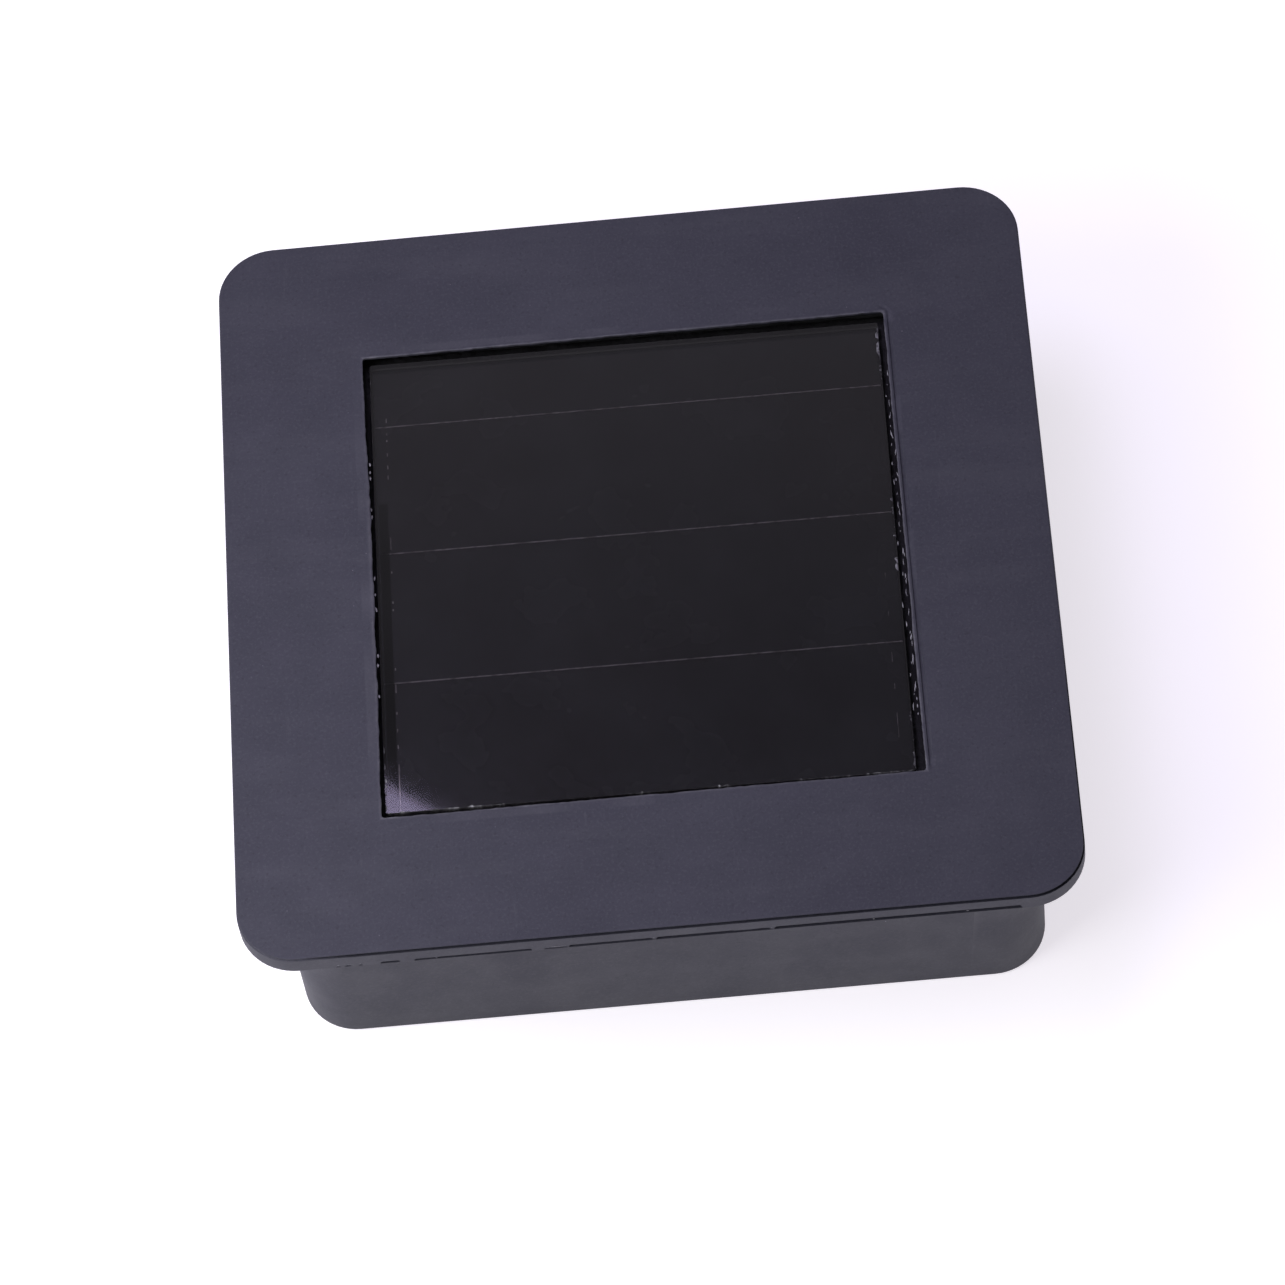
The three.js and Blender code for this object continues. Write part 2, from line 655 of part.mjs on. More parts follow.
function motorCan() {
  const inner = MOTOR_RADIUS - CAN_WALL;
  const nose = MOTOR_BOTTOM - NOSE_LENGTH;
  const can = turned([
    [BUSH_SEAT, nose],
    [NOSE_RADIUS, nose],
    [NOSE_RADIUS, MOTOR_BOTTOM],
    [MOTOR_RADIUS - 0.5, MOTOR_BOTTOM],
    [MOTOR_RADIUS, MOTOR_BOTTOM + 0.5],
    [MOTOR_RADIUS, MOTOR_TOP],
    [inner, MOTOR_TOP],
    [inner, MOTOR_BOTTOM + 0.8],
    [BUSH_SEAT, MOTOR_BOTTOM + 0.8],
    [BUSH_SEAT, nose],
  ], MEDIUM);
  return without(can, holes(MOTOR_BOLTS, 1.1, MOTOR_BOTTOM - PAST, MOTOR_BOTTOM + PAST));
}

function motorEndCap() {
  const seat = MOTOR_TOP + FIT_GAP;
  const plug = MOTOR_RADIUS - CAN_WALL - FIT_GAP;
  const cap = turned([
    [BUSH_SEAT, seat - 1.5],
    [plug, seat - 1.5],
    [plug, seat],
    [MOTOR_RADIUS, seat],
    [MOTOR_RADIUS, seat + 1.2],
    [3.3, seat + 1.2],
    [3.3, seat + 2.2],
    [BUSH_SEAT, seat + 2.2],
    [BUSH_SEAT, seat - 1.5],
  ], MEDIUM);
  const slot = block(-1.5, 1.5, TERMINAL_Y - 0.5, TERMINAL_Y + 0.5, seat - 3, seat + 3);
  return without(cap, [slot, spun(slot, Math.PI)]);
}

function bush(z0, z1) {
  return ring((SHAFT_RADIUS + 0.05) / Math.cos(Math.PI / SMALL), BUSH_RADIUS, z0, z1);
}

// A curved bar: its outline runs out along one radius and back along the other
function curvedBar(outer, inner, middleAngle, reach, z0, z1, steps) {
  const along = (radius, sign) => Array.from({ length: steps + 1 }, (_, k) => {
    const angle = middleAngle + sign * reach * ((2 * k) / steps - 1);
    return new THREE.Vector2(radius * Math.cos(angle), radius * Math.sin(angle));
  });
  return extruded(new THREE.Shape([...along(outer, 1), ...along(inner, -1)]), z0, z1);
}

function extruded(shape, z0, z1) {
  const geometry = new THREE.ExtrudeGeometry(shape, { depth: z1 - z0, bevelEnabled: false });
  geometry.translate(0, 0, z0);
  return solidOf(geometry);
}

function magnet(middleAngle) {
  return curvedBar(MAGNET.outer, MAGNET.inner, middleAngle, MAGNET.reach,
    MAGNET.bottom, MAGNET.top, 12);
}

function armatureCore() {
  const shoe = curvedBar(POLE_SHOE.outer, POLE_SHOE.inner, 0, POLE_SHOE.reach,
    CORE_BOTTOM, CORE_TOP, 8);
  const pole = shoe.add(block(0.5, 8, -POLE_NECK_HALF, POLE_NECK_HALF, CORE_BOTTOM, CORE_TOP));
  const poles = Array.from({ length: POLE_COUNT }, (_, k) => spun(pole,
    (k * 2 * Math.PI) / POLE_COUNT));
  return joined([rod(2.6, CORE_BOTTOM, CORE_TOP), ...poles])
    .subtract(rod(SHAFT_RADIUS + 0.15, CORE_BOTTOM - PAST, CORE_TOP + PAST));
}

// A coil wound round one pole's neck
function armatureCoil(k) {
  const middle = (CORE_BOTTOM + CORE_TOP) / 2;
  const reach = (CORE_TOP - CORE_BOTTOM) / 2;
  const outside = block(3.6, 6.8, -2.7, 2.7, middle - reach - 1.3, middle + reach + 1.3);
  const neck = block(3, 8, -1.3, 1.3, middle - reach - 0.2, middle + reach + 0.2);
  return spun(outside.subtract(neck), (k * 2 * Math.PI) / POLE_COUNT);
}

function commutator() {
  const sleeve = ring(SHAFT_RADIUS + 0.15, 2, 30, 31.5);
  const groove = block(1.6, 3, -0.15, 0.15, 29, 32.5);
  return without(sleeve, [0, 1, 2].map((k) => spun(groove, ((k + 0.5) * 2 * Math.PI) / 3)));
}

// A sprung contact finger from its terminal to the commutator
function brush() {
  const outline = new THREE.Shape();
  outline.moveTo(2.15, -0.55);
  outline.lineTo(2.4, -0.6);
  outline.lineTo(3.4, -0.35);
  outline.lineTo(6.8, -0.35);
  outline.lineTo(6.8, 0.15);
  outline.lineTo(3.3, 0.15);
  outline.lineTo(2.15, -0.15);
  return spun(extruded(outline, 30.4, 31.2), Math.PI / 2);
}

function terminal() {
  const tab = block(-1, 1, TERMINAL_Y - 0.2, TERMINAL_Y + 0.2, 30.6, 36.4);
  const eye = rod(0.45, -PAST, PAST, 0, 0, HOLE_SIDES).rotate([90, 0, 0]);
  return tab.subtract(eye.translate([0, TERMINAL_Y, 35.6]));
}

// ---------------------------------------------------------------- leads

// A lead from its solder tab down through the tray and across to the motor terminal
function lead(side, bow) {
  const route = [
    [PANE_X, 34, 39.7],
    [PANE_X, 34, 38.4],
    [PANE_X + 0.1 * bow, 33.4, 36.7],
    [PANE_X + 0.5 * bow, 31, 35.4],
    [PANE_X + 1.4 * bow, 26, 34.9],
    [PANE_X + 2 * bow, 20, 34.8],
    [PANE_X + 1.2 * bow, 14, 35],
    [0, 9.5, 35.4],
    [0, 8.2, 35.5],
  ].map(([x, y, z]) => new THREE.Vector3(x, side * y, z));
  const section = new THREE.Shape(around(LEAD_RADIUS, HOLE_SIDES, 0)
    .map(([x, y]) => new THREE.Vector2(x, y)));
  return solidOf(new THREE.ExtrudeGeometry(section, {
    steps: 18,
    extrudePath: new THREE.CatmullRomCurve3(route),
  }));
}

// ---------------------------------------------------------------- assembly

addPiece('housing', housing(), SHELL);
addPiece('top_cover', topCover(), SHELL);
addScrews('cover_screw', CORNERS, panScrew(2.8, 2, 1.15, 12), 2.7, ZINC);

addPiece('panel_tray', panelTray(), BLACK_PLASTIC);
addPiece('tray_gasket', squareFrame(TRAY_SIZE / 2 - TRAY_RIM + 0.2, 2, TRAY_SIZE / 2 - 0.4, 3.6,
  TRAY_TOP + 0.1, COVER_TOP - COVER_PLATE - 0.1), FOAM);
addScrews('tray_screw', TRAY_BOLTS, panScrew(1.9, 1.3, 0.7, 4.6), TRAY_BOTTOM - 0.1, ZINC);
group.add(panelPieces());

addPiece('intake_grille', intakeGrille(), SHELL);
addScrews('grille_screw', GRILLE_BOLTS, flatScrew(2, 1, 0.8, 6.8), GRILLE_BOTTOM + 1.1, ZINC);

addPiece('impeller', impeller(), BLACK_PLASTIC);
addPiece('fan_shaft', rod(SHAFT_RADIUS, HUB_BOTTOM + 2.3, SHAFT_END), STEEL);
addPiece('armature_core', armatureCore(), STEEL);
for (let k = 0; k < POLE_COUNT; k += 1) {
  addPiece(`armature_coil_${k + 1}`, armatureCoil(k), COPPER);
}
addPiece('commutator', commutator(), COPPER);

addPiece('motor_bracket', motorBracket(), BLACK_PLASTIC);
addScrews('bracket_screw', BRACKET_BOLTS, panScrew(2.2, 1.5, 0.95, 8), BRACKET_TOP + 0.1, ZINC, true);
addScrews('motor_screw', MOTOR_BOLTS, panScrew(1.8, 0.9, 0.8, 2.9), BRACKET_BOTTOM - 0.1, ZINC);
addPiece('motor_can', motorCan(), STEEL);
addPiece('motor_end_cap', motorEndCap(), WHITE_PLASTIC);
addPiece('front_bush', bush(MOTOR_BOTTOM - 1.1, MOTOR_BOTTOM + 1.2), BRONZE);
addPiece('rear_bush', bush(MOTOR_TOP - 0.4, MOTOR_TOP + 2.3), BRONZE);
addPiece('magnet_left', magnet(Math.PI), FERRITE);
addPiece('magnet_right', magnet(0), FERRITE);
addPiece('brush_positive', brush(), BRASS);
addPiece('brush_negative', spun(brush(), Math.PI), BRASS);
addPiece('terminal_positive', terminal(), BRASS);
addPiece('terminal_negative', spun(terminal(), Math.PI), BRASS);
addPiece('lead_positive', lead(1, 1), RED_PVC);
addPiece('lead_negative', lead(-1, -1), BLACK_PVC);

export default group;
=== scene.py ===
# Solar attic fan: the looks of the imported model, piece by piece.
# Lengths in this script are millimetres, made metres where a mesh is built. The frame's origin
# is the centre of the housing's underside, +Z up; -Y is the front and -X the left.

import json
import math

import bmesh
import bpy
from mathutils import Matrix, Vector, noise


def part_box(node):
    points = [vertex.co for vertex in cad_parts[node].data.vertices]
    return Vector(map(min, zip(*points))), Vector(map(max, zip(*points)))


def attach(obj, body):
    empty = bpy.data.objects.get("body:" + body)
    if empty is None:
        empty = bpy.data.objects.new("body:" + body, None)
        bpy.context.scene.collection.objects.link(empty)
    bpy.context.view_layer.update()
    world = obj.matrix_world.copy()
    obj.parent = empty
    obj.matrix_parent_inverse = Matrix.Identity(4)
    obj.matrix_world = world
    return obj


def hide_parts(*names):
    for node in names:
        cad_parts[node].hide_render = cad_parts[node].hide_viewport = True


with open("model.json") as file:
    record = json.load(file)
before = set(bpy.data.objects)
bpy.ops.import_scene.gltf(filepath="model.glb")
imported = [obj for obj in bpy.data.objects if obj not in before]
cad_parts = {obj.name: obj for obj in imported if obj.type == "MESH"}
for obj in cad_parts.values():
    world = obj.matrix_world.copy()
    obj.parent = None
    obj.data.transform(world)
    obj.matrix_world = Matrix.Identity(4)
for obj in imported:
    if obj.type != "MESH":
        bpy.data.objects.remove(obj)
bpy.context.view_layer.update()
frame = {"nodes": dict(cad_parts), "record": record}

MM = 0.001


def span(node):
    lo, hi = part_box(node)
    return lo / MM, hi / MM


# -------- driving dimensions

COVER_HALF = span("top_cover")[1].x
COVER_TOP = span("top_cover")[1].z
COVER_CORNER = 10.5
COVER_EDGE = 4.2
COVER_UNDERSIDE = COVER_TOP - 2.8
COVER_RIM_INSIDE = COVER_HALF - 2.4
COVER_SKIN = 0.07                       # the flat top lies this far under the burr's crest
LIP_OUTER = 65.2
LIP_INNER = 63.6
LIP_BOTTOM = COVER_UNDERSIDE - 2.6
SEAM_PROFILE = (                        # the rim's top edge: inward, down; then with the seam open
    (0.00, 0.80, 0.00, 0.80), (0.01, 0.50, 0.01, 0.74), (0.03, 0.38, 0.04, 0.71),
    (0.07, 0.28, 0.08, 1.00), (0.12, 0.20, 0.50, 1.00), (0.17, 0.15, 0.50, 0.25),
    (0.22, 0.11, 0.27, 0.21), (0.28, 0.09, 0.24, 0.14), (0.36, 0.07, 0.30, 0.07))
WINDOW_HALF = 48.5
WINDOW_SHIFT = 0.3
WINDOW_CORNER = 0.6
WINDOW_UNDERCUT = 1.7
WINDOW_LAND = 0.6
WINDOW_BURR = (                         # outside the edge; then its waviness, lift and crest
    (0.44, 0.5, 0.0, 0.01), (0.3, 0.8, 0.0, 0.065), (0.14, 1.0, 0.0, 0.07),
    (0.0, 1.0, -0.05, 0.04))

HOUSING_HALF = span("housing")[1].x
HOUSING_TOP = span("housing")[1].z
HOUSING_CORNER = 10.0
WALL = 2.4
FLOOR = 2.4
PAD_RADIUS = 53.0
PAD_TOP = 4.8
DUCT_RADIUS = 43.5
DUCT_WALL = 2.2
DUCT_TOP = 18.0
GRILLE_SEAT = 49.3
SEAT_TOP = 2.4
SLOT_BOTTOM = 30.0
SLOT_HEIGHT = 5.6
SLOT_WIDTH = 34.5
SLOT_PITCH = 38.0

GRILLE_LO, GRILLE_HI = span("intake_grille")
GRILLE_RADIUS = GRILLE_HI.x
GRILLE_FLANGE = 41.0
GRILLE_DISC = 13.0
GRILLE_RINGS = (16, 21, 26, 31, 36)
GRILLE_BAR = 2.0

HUB_RADIUS = 13.0
HUB_BOTTOM = span("impeller")[0].z
HUB_TOP = 17.0
BLADE_TIP = 42.3
BLADE_COUNT = 5

PANE_LO, PANE_HI = span("solar_glass")
PANE_TURN = math.radians(-0.35)
PANE_HALF = (PANE_HI.x - PANE_LO.x) / 2 / (math.cos(PANE_TURN) - math.sin(PANE_TURN))
PANE_MIDDLE = Vector(((PANE_LO.x + PANE_HI.x) / 2, (PANE_LO.y + PANE_HI.y) / 2, 0))
PANE_TOP = PANE_HI.z
PANE_BOTTOM = PANE_LO.z
PANE_STRAIGHT = 300                     # points along each side of the pane and of its bead
STRIP_EDGES = (34.6, 7.3, -19.9)

MOTOR_RADIUS = span("motor_can")[1].x
MOTOR_BOTTOM = 20.6
MOTOR_TOP = span("motor_can")[1].z
CORE_MIDDLE = 26.0
NECK_START = 3.6
NECK_END = 6.8
COIL_WIRE = 0.22                        # the wire's radius
BRACKET_BOTTOM = span("motor_bracket")[0].z
BRACKET_TOP = BRACKET_BOTTOM + 2.0
BRACKET_CUP = (12.6, 14.4, 5.5)


# -------- mesh tools

def linked(name, data):
    """A new object in the scene that holds the data."""
    obj = bpy.data.objects.new(name, data)
    bpy.context.scene.collection.objects.link(obj)
    return obj


def built(made, name):
    """A new object from a bmesh, which is then freed."""
    mesh = bpy.data.meshes.new(name)
    made.to_mesh(mesh)
    made.free()
    return linked(name, mesh)


def shape(verts, faces):
    """A mesh object from millimetre points, its shared points merged and its faces outward."""
    made = bmesh.new()
    points = [made.verts.new(Vector(v) * MM) for v in verts]
    for face in faces:
        made.faces.new([points[i] for i in face])
    bmesh.ops.remove_doubles(made, verts=made.verts, dist=1e-7)
    bmesh.ops.dissolve_degenerate(made, edges=made.edges, dist=1e-8)
    bmesh.ops.recalc_face_normals(made, faces=made.faces)
    return built(made, "shape")


def drop(obj):
    mesh = obj.data
    bpy.data.objects.remove(obj)
    if mesh.users == 0:
        bpy.data.meshes.remove(mesh)


def evaluated(obj):
    """The object's mesh with its modifiers applied."""
    graph = bpy.context.evaluated_depsgraph_get()
    return bpy.data.meshes.new_from_object(obj.evaluated_get(graph))


def settle(obj):
    """Leaves the object with its evaluated mesh and no modifiers."""
    mesh = evaluated(obj)
    obj.modifiers.clear()
    obj.data = mesh
    return obj


def joined(objects):
    """One object that holds the meshes of several, which don't overlap."""
    made = bmesh.new()
    for obj in objects:
        part = obj.data.copy()
        part.transform(obj.matrix_basis)
        made.from_mesh(part)
        bpy.data.meshes.remove(part)
        drop(obj)
    return built(made, "joined")


def boolean(target, operation, tools):
    tool = joined(tools)
    step = target.modifiers.new("boolean", "BOOLEAN")
    step.operation = operation
    step.solver = "EXACT"
    step.object = tool
    settle(target)
    drop(tool)
    return target


def without(target, tools):
    return boolean(target, "DIFFERENCE", tools)


def united(target, tools):
    return boolean(target, "UNION", tools)


def softened(obj, width, segments=2, angle=40):
    """The object's sharp edges rounded."""
    step = obj.modifiers.new("bevel", "BEVEL")
    step.width = width * MM
    step.segments = segments
    step.limit_method = "ANGLE"
    step.angle_limit = math.radians(angle)
    step.miter_outer = "MITER_ARC"
    return settle(obj)


def moved(obj, x=0.0, y=0.0, z=0.0, turn=0.0, flip=False):
    """The object's mesh turned about Z, tipped over if asked, and shifted."""
    place = Matrix.Translation(Vector((x, y, z)) * MM) @ Matrix.Rotation(turn, 4, "Z")
    if flip:
        place = place @ Matrix.Rotation(math.pi, 4, "X")
    obj.data.transform(place)
    return obj


def copied(obj):
    return linked("copy", obj.data.copy())


def around(radius, count, first=0.0):
    angles = [first + k * math.tau / count for k in range(count)]
    return [(radius * math.cos(a), radius * math.sin(a), a) for a in angles]


def ring(obj, places):
    """Copies of an object, one turned to each place; the object itself is used up."""
    copies = [moved(copied(obj), turn=angle) for _, _, angle in places]
    drop(obj)
    return copies


def filleted(outline, closed, steps=4):
    """An outline of (a, b, fillet, rest...) points whose corners are rounded."""
    points = []
    count = len(outline)
    for k, (a, b, fillet, *rest) in enumerate(outline):
        ends = not closed and k in (0, count - 1)
        if fillet <= 0 or ends:
            points.append((a, b, *rest))
            continue
        corner = Vector((a, b))
        before = Vector(outline[k - 1][:2]) - corner
        after = Vector(outline[(k + 1) % count][:2]) - corner
        start = corner + before.normalized() * min(fillet, before.length * 0.48)
        end = corner + after.normalized() * min(fillet, after.length * 0.48)
        for step in range(steps + 1):
            t = step / steps
            point = start * (1 - t) ** 2 + corner * (2 * t * (1 - t)) + end * t * t
            points.append((point.x, point.y, *rest))
    return points


def loft(loops, closed=False):
    """Quads between loops of equally many points; open lofts are capped."""
    count = len(loops[0])
    verts = [point for loop in loops for point in loop]
    faces = []
    spans = len(loops) if closed else len(loops) - 1
    for level in range(spans):
        low = level * count
        high = ((level + 1) % len(loops)) * count
        for side in range(count):
            following = (side + 1) % count
            faces.append((low + side, low + following, high + following, high + side))
    if not closed:
        faces.append(tuple(reversed(range(count))))
        faces.append(tuple(range((len(loops) - 1) * count, len(loops) * count)))
    return shape(verts, faces)


def turned(outline, steps=64, x=0.0, y=0.0):
    """A turned piece from (radius, height, fillet) points: on the axis at both ends, or closed."""
    closed = outline[0][0] > 0
    points = filleted(outline, closed)
    loops = [[Vector((px + x, py + y, z)) for px, py, _ in around(max(radius, 1e-5), steps)]
             for radius, z in points]
    return loft(loops, closed)


def rod(radius, z0, z1, x=0.0, y=0.0, fillet=0.0, steps=48):
    return turned([(0, z0, 0), (radius, z0, fillet), (radius, z1, fillet), (0, z1, 0)], steps, x, y)


def tube(inner, outer, z0, z1, fillet, steps=64):
    return turned([(inner, z0, fillet), (outer, z0, fillet), (outer, z1, fillet),
                   (inner, z1, fillet)], steps)


def rods(places, radius, z0, z1, fillet=0.0, steps=48):
    return [rod(radius, z0, z1, x, y, fillet, steps) for x, y, _ in places]


def drills(places, radius, z0, z1):
    """Cutters for the holes of screws."""
    return rods(places, radius, z0, z1, steps=24)


def bar(x0, x1, y0, y1, z0, z1, fillet=0.0):
    """An upright block, its edges rounded."""
    corners = ((x0, y0), (x1, y0), (x1, y1), (x0, y1))
    obj = loft([[Vector((x, y, z)) for x, y in corners] for z in (z0, z1)])
    return softened(obj, fillet) if fillet > 0 else obj


def round_rectangle(half_a, half_b, corner, steps):
    """Points round a rectangle, its corners arcs of so many steps."""
    points = []
    for turn, (a, b) in enumerate(((1, 1), (-1, 1), (-1, -1), (1, -1))):
        for k in range(steps + 1):
            angle = (turn + k / steps) * math.pi / 2
            points.append((a * (half_a - corner) + corner * math.cos(angle),
                           b * (half_b - corner) + corner * math.sin(angle)))
    return points


def square_loop(half, corner, z, straight, bends, nudge=None, middle=(0.0, 0.0)):
    """A square with round corners, counter-clockwise. nudge(side, s) gives (outward, up)."""
    points = []
    reach = half - corner
    for side in range(4):
        angle = side * math.pi / 2
        out = Vector((math.cos(angle), math.sin(angle), 0))
        along = Vector((-out.y, out.x, 0))
        for k in range(straight + 1):
            s = reach * (2 * k / straight - 1)
            push, lift = nudge(side, s) if nudge else (0.0, 0.0)
            points.append(out * (half + push) + along * s + Vector((*middle, z + lift)))
        push, lift = nudge(side, reach) if nudge else (0.0, 0.0)
        centre = (out + along) * reach + Vector((*middle, z + lift))
        for k in range(1, bends):
            turn = angle + math.pi / 2 * k / bends
            points.append(centre + Vector((math.cos(turn), math.sin(turn), 0)) * (corner + push))
    return points


def rough(s, seed, size):
    """Smooth noise along a line, -1 to 1, with bumps about size millimetres long."""
    return noise.noise(Vector((s / size, seed * 7.31, 0.37 * seed)))


def clamped(value):
    return max(0.0, min(1.0, value))


# -------- materials

class Paint:
    """One node material: a principled shader and short calls for the nodes that feed it."""

    def __init__(self, name, **values):
        self.material = bpy.data.materials.new(name)
        self.material.use_nodes = True
        self.tree = self.material.node_tree
        self.shader = self.tree.nodes["Principled BSDF"]
        self.place = self.node("TexCoord").outputs["Object"]
        for socket, value in values.items():
            self.shader.inputs[socket.replace("_", " ")].default_value = value

    def node(self, kind, sockets=None, **settings):
        """A new node with its settings made and its sockets fed."""
        made = self.tree.nodes.new("ShaderNode" + kind)
        for key, value in settings.items():
            setattr(made, key, value)
        for socket, value in (sockets or {}).items():
            self.feed(made.inputs[socket], value)
        return made

    def feed(self, socket, value):
        """Links an output to a socket, or sets the socket to a number, vector or colour."""
        if isinstance(value, bpy.types.NodeSocket):
            self.tree.links.new(value, socket)
        elif socket.type == "RGBA":
            socket.default_value = (*value, 1)
        else:
            socket.default_value = value

    def stretched(self, x, y, z):
        return self.node("Mapping", {"Scale": (x, y, z), "Vector": self.place}).outputs["Vector"]

    def noise(self, size, detail=3.0, roughness=0.5, vector=None):
        """Noise with features about size millimetres across."""
        sockets = {"Scale": 1 / (size * MM), "Detail": detail, "Roughness": roughness,
                   "Vector": vector or self.place}
        return self.node("TexNoise", sockets).outputs["Fac"]

    def specks(self, size, share):
        """Rare small dots: one chance per size-millimetre cell, each share of a cell wide."""
        cells = self.node("TexVoronoi", {"Scale": 1 / (size * MM), "Vector": self.place})
        near = self.range(cells.outputs["Distance"], share, share * 0.4)
        chance = self.range(cells.outputs["Color"], 0.55, 0.8)
        return self.multiply(near, chance)

    def range(self, value, low=0.3, high=0.7, to_low=0, to_high=1):
        sockets = {"Value": value, "From Min": low, "From Max": high, "To Min": to_low,
                   "To Max": to_high}
        return self.node("MapRange", sockets).outputs["Result"]

    def multiply(self, first, second):
        return self.node("Math", {0: first, 1: second}, operation="MULTIPLY").outputs["Value"]

    def blend(self, factor, first, second):
        """A colour between two, each a colour or an output."""
        sockets = {"Factor": factor, 6: first, 7: second}
        return self.node("Mix", sockets, data_type="RGBA").outputs[2]

    def wear(self):
        return self.node("Attribute", attribute_name="wear").outputs["Fac"]

    def colour(self, output):
        self.feed(self.shader.inputs["Base Color"], output)

    def roughness(self, output, low, high, start=0.3, end=0.7):
        """Roughness from low to high as the output goes from start to end."""
        self.feed(self.shader.inputs["Roughness"], self.range(output, start, end, low, high))

    def bump(self, height, depth):
        """Surface relief depth millimetres deep, on top of any that is there already."""
        relief = self.node("Bump", {"Distance": depth * MM, "Height": height})
        normal = self.shader.inputs["Normal"]
        if normal.is_linked:
            self.feed(relief.inputs["Normal"], normal.links[0].from_socket)
        self.feed(normal, relief.outputs["Normal"])


def shell_paint(name, worn):
    """Matte charcoal ABS with a violet tint: spark grain, soft mottling, scuffs and dust."""
    paint = Paint(name, Specular_IOR_Level=0.4)
    mottle = paint.range(paint.noise(34, 5, 0.6))
    base = paint.blend(mottle, (0.0262, 0.0262, 0.0400), (0.0340, 0.0344, 0.0488))
    grain = paint.noise(0.55, 2, 0.65)
    drag = paint.noise(7, 4, 0.6, paint.stretched(0.22, 1, 1))
    pits = paint.noise(0.8, 2, 0.6)
    scuffs = paint.noise(2.2, 5, 0.75, paint.stretched(1, 0.14, 1))
    for pattern, start, end, share, colour in (
            (drag, 0.5, 0.8, 0.42, (0.049, 0.0495, 0.063)),
            (grain, 0.5, 0.72, 0.42, (0.056, 0.057, 0.070)),
            (pits, 0.42, 0.28, 0.5, (0.018, 0.0178, 0.027)),
            (scuffs, 0.62, 0.8, 0.35, (0.075, 0.076, 0.088))):
        base = paint.blend(paint.range(pattern, start, end, 0, share), base, colour)
    base = paint.blend(paint.specks(3.4, 0.04), base, (0.13, 0.125, 0.15))
    base = paint.blend(paint.specks(11, 0.014), base, (0.36, 0.34, 0.38))
    base = paint.blend(paint.wear(), base, worn)
    paint.colour(base)
    paint.roughness(paint.noise(9, 3), 0.56, 0.68)
    paint.bump(grain, 0.02)
    paint.bump(paint.noise(14, 2), 0.03)
    return paint.material


def moulded_paint(name, dark, light, low, high):
    """Moulded plastic: flow mottling, fine grain and a few dust specks."""
    paint = Paint(name, Specular_IOR_Level=0.45)
    base = paint.blend(paint.range(paint.noise(16, 4), 0.35, 0.65), dark, light)
    pale = tuple(min(1, channel * 2 + 0.03) for channel in light)
    base = paint.blend(paint.specks(4, 0.03), base, pale)
    paint.colour(base)
    paint.roughness(paint.noise(6, 3), low, high)
    paint.bump(paint.noise(0.5, 2), 0.01)
    return paint.material


def metal_paint(name, dark, light, low, high, streak=(1, 1, 0.05)):
    """Bare or plated metal: drawing streaks and spangle in colour and roughness."""
    paint = Paint(name, Metallic=1.0)
    streaks = paint.noise(0.5, 4, 0.6, paint.stretched(*streak))
    paint.colour(paint.blend(paint.range(streaks), dark, light))
    paint.roughness(paint.noise(2.5, 4, 0.6), low, high)
    paint.bump(streaks, 0.006)
    return paint.material


def glass_paint():
    """Polished face of the pane, with a breath of dust: half clear over the black films."""
    paint = Paint("pane_glass", Alpha=0.5, Specular_IOR_Level=1.0, IOR=1.5,
                  Specular_Tint=(0.96, 0.93, 1.0, 1))
    haze = paint.range(paint.noise(22, 4), 0.4, 0.75)
    base = paint.blend(haze, (0.002, 0.002, 0.0024), (0.006, 0.006, 0.0068))
    base = paint.blend(paint.specks(3.2, 0.022), base, (0.16, 0.16, 0.17))
    paint.colour(base)
    paint.roughness(paint.noise(30, 3), 0.024, 0.034, 0.4)
    return paint.material


def ground_glass_paint():
    """The pane's cut edge: near black, a painted shade for the dark look that refraction gives the
    glass's edge, and pale where wear marks it as chipped.
    """
    paint = Paint("ground_glass", Specular_IOR_Level=0.5)
    nibbles = paint.noise(0.55, 5, 0.7)
    chips = paint.multiply(paint.range(nibbles, 0.4, 0.55, 0.15, 1), paint.wear())
    # The near-black colour is painted shade standing in for the edge's refraction; the pale colour is
    # the chipped glass.
    paint.colour(paint.blend(chips, (0.012, 0.011, 0.013), (0.40, 0.40, 0.42)))
    paint.roughness(nibbles, 0.3, 0.6)
    paint.bump(nibbles, 0.12)
    return paint.material


def silicon_paint():
    """Amorphous silicon behind glass: near black, with slow brown and violet interference."""
    paint = Paint("silicon_film", Specular_IOR_Level=0.7)
    drift = paint.range(paint.noise(45, 2), 0.35, 0.65)
    base = paint.blend(drift, (0.0400, 0.0345, 0.0430), (0.0335, 0.0355, 0.0480))
    cloud = paint.range(paint.noise(5, 6, 0.7), 0.45, 0.75, 0, 0.45)
    paint.colour(paint.blend(cloud, base, (0.060, 0.056, 0.066)))
    paint.roughness(paint.noise(12, 3), 0.2, 0.3)
    return paint.material


def scribe_paint():
    """Laser scribes: the bare back metal, broken up a little along the line."""
    paint = Paint("scribe_line", Metallic=0.5)
    breaks = paint.range(paint.noise(1.1, 3, 0.6), 0.35, 0.6)
    paint.colour(paint.blend(breaks, (0.30, 0.26, 0.27), (0.90, 0.82, 0.84)))
    paint.roughness(breaks, 0.55, 0.35, 0, 1)
    return paint.material


def rubber_paint(name, dark, light, low, high, pores, depth, shine=0.5):
    """Foam or sealant: pores or skin wrinkles in the given size and depth."""
    paint = Paint(name, Specular_IOR_Level=shine)
    holes = paint.noise(pores, 4, 0.65)
    tone = paint.range(holes, 0.35)
    paint.colour(paint.blend(tone, dark, light))
    paint.roughness(holes, low, high)
    paint.bump(holes, depth)
    return paint.material


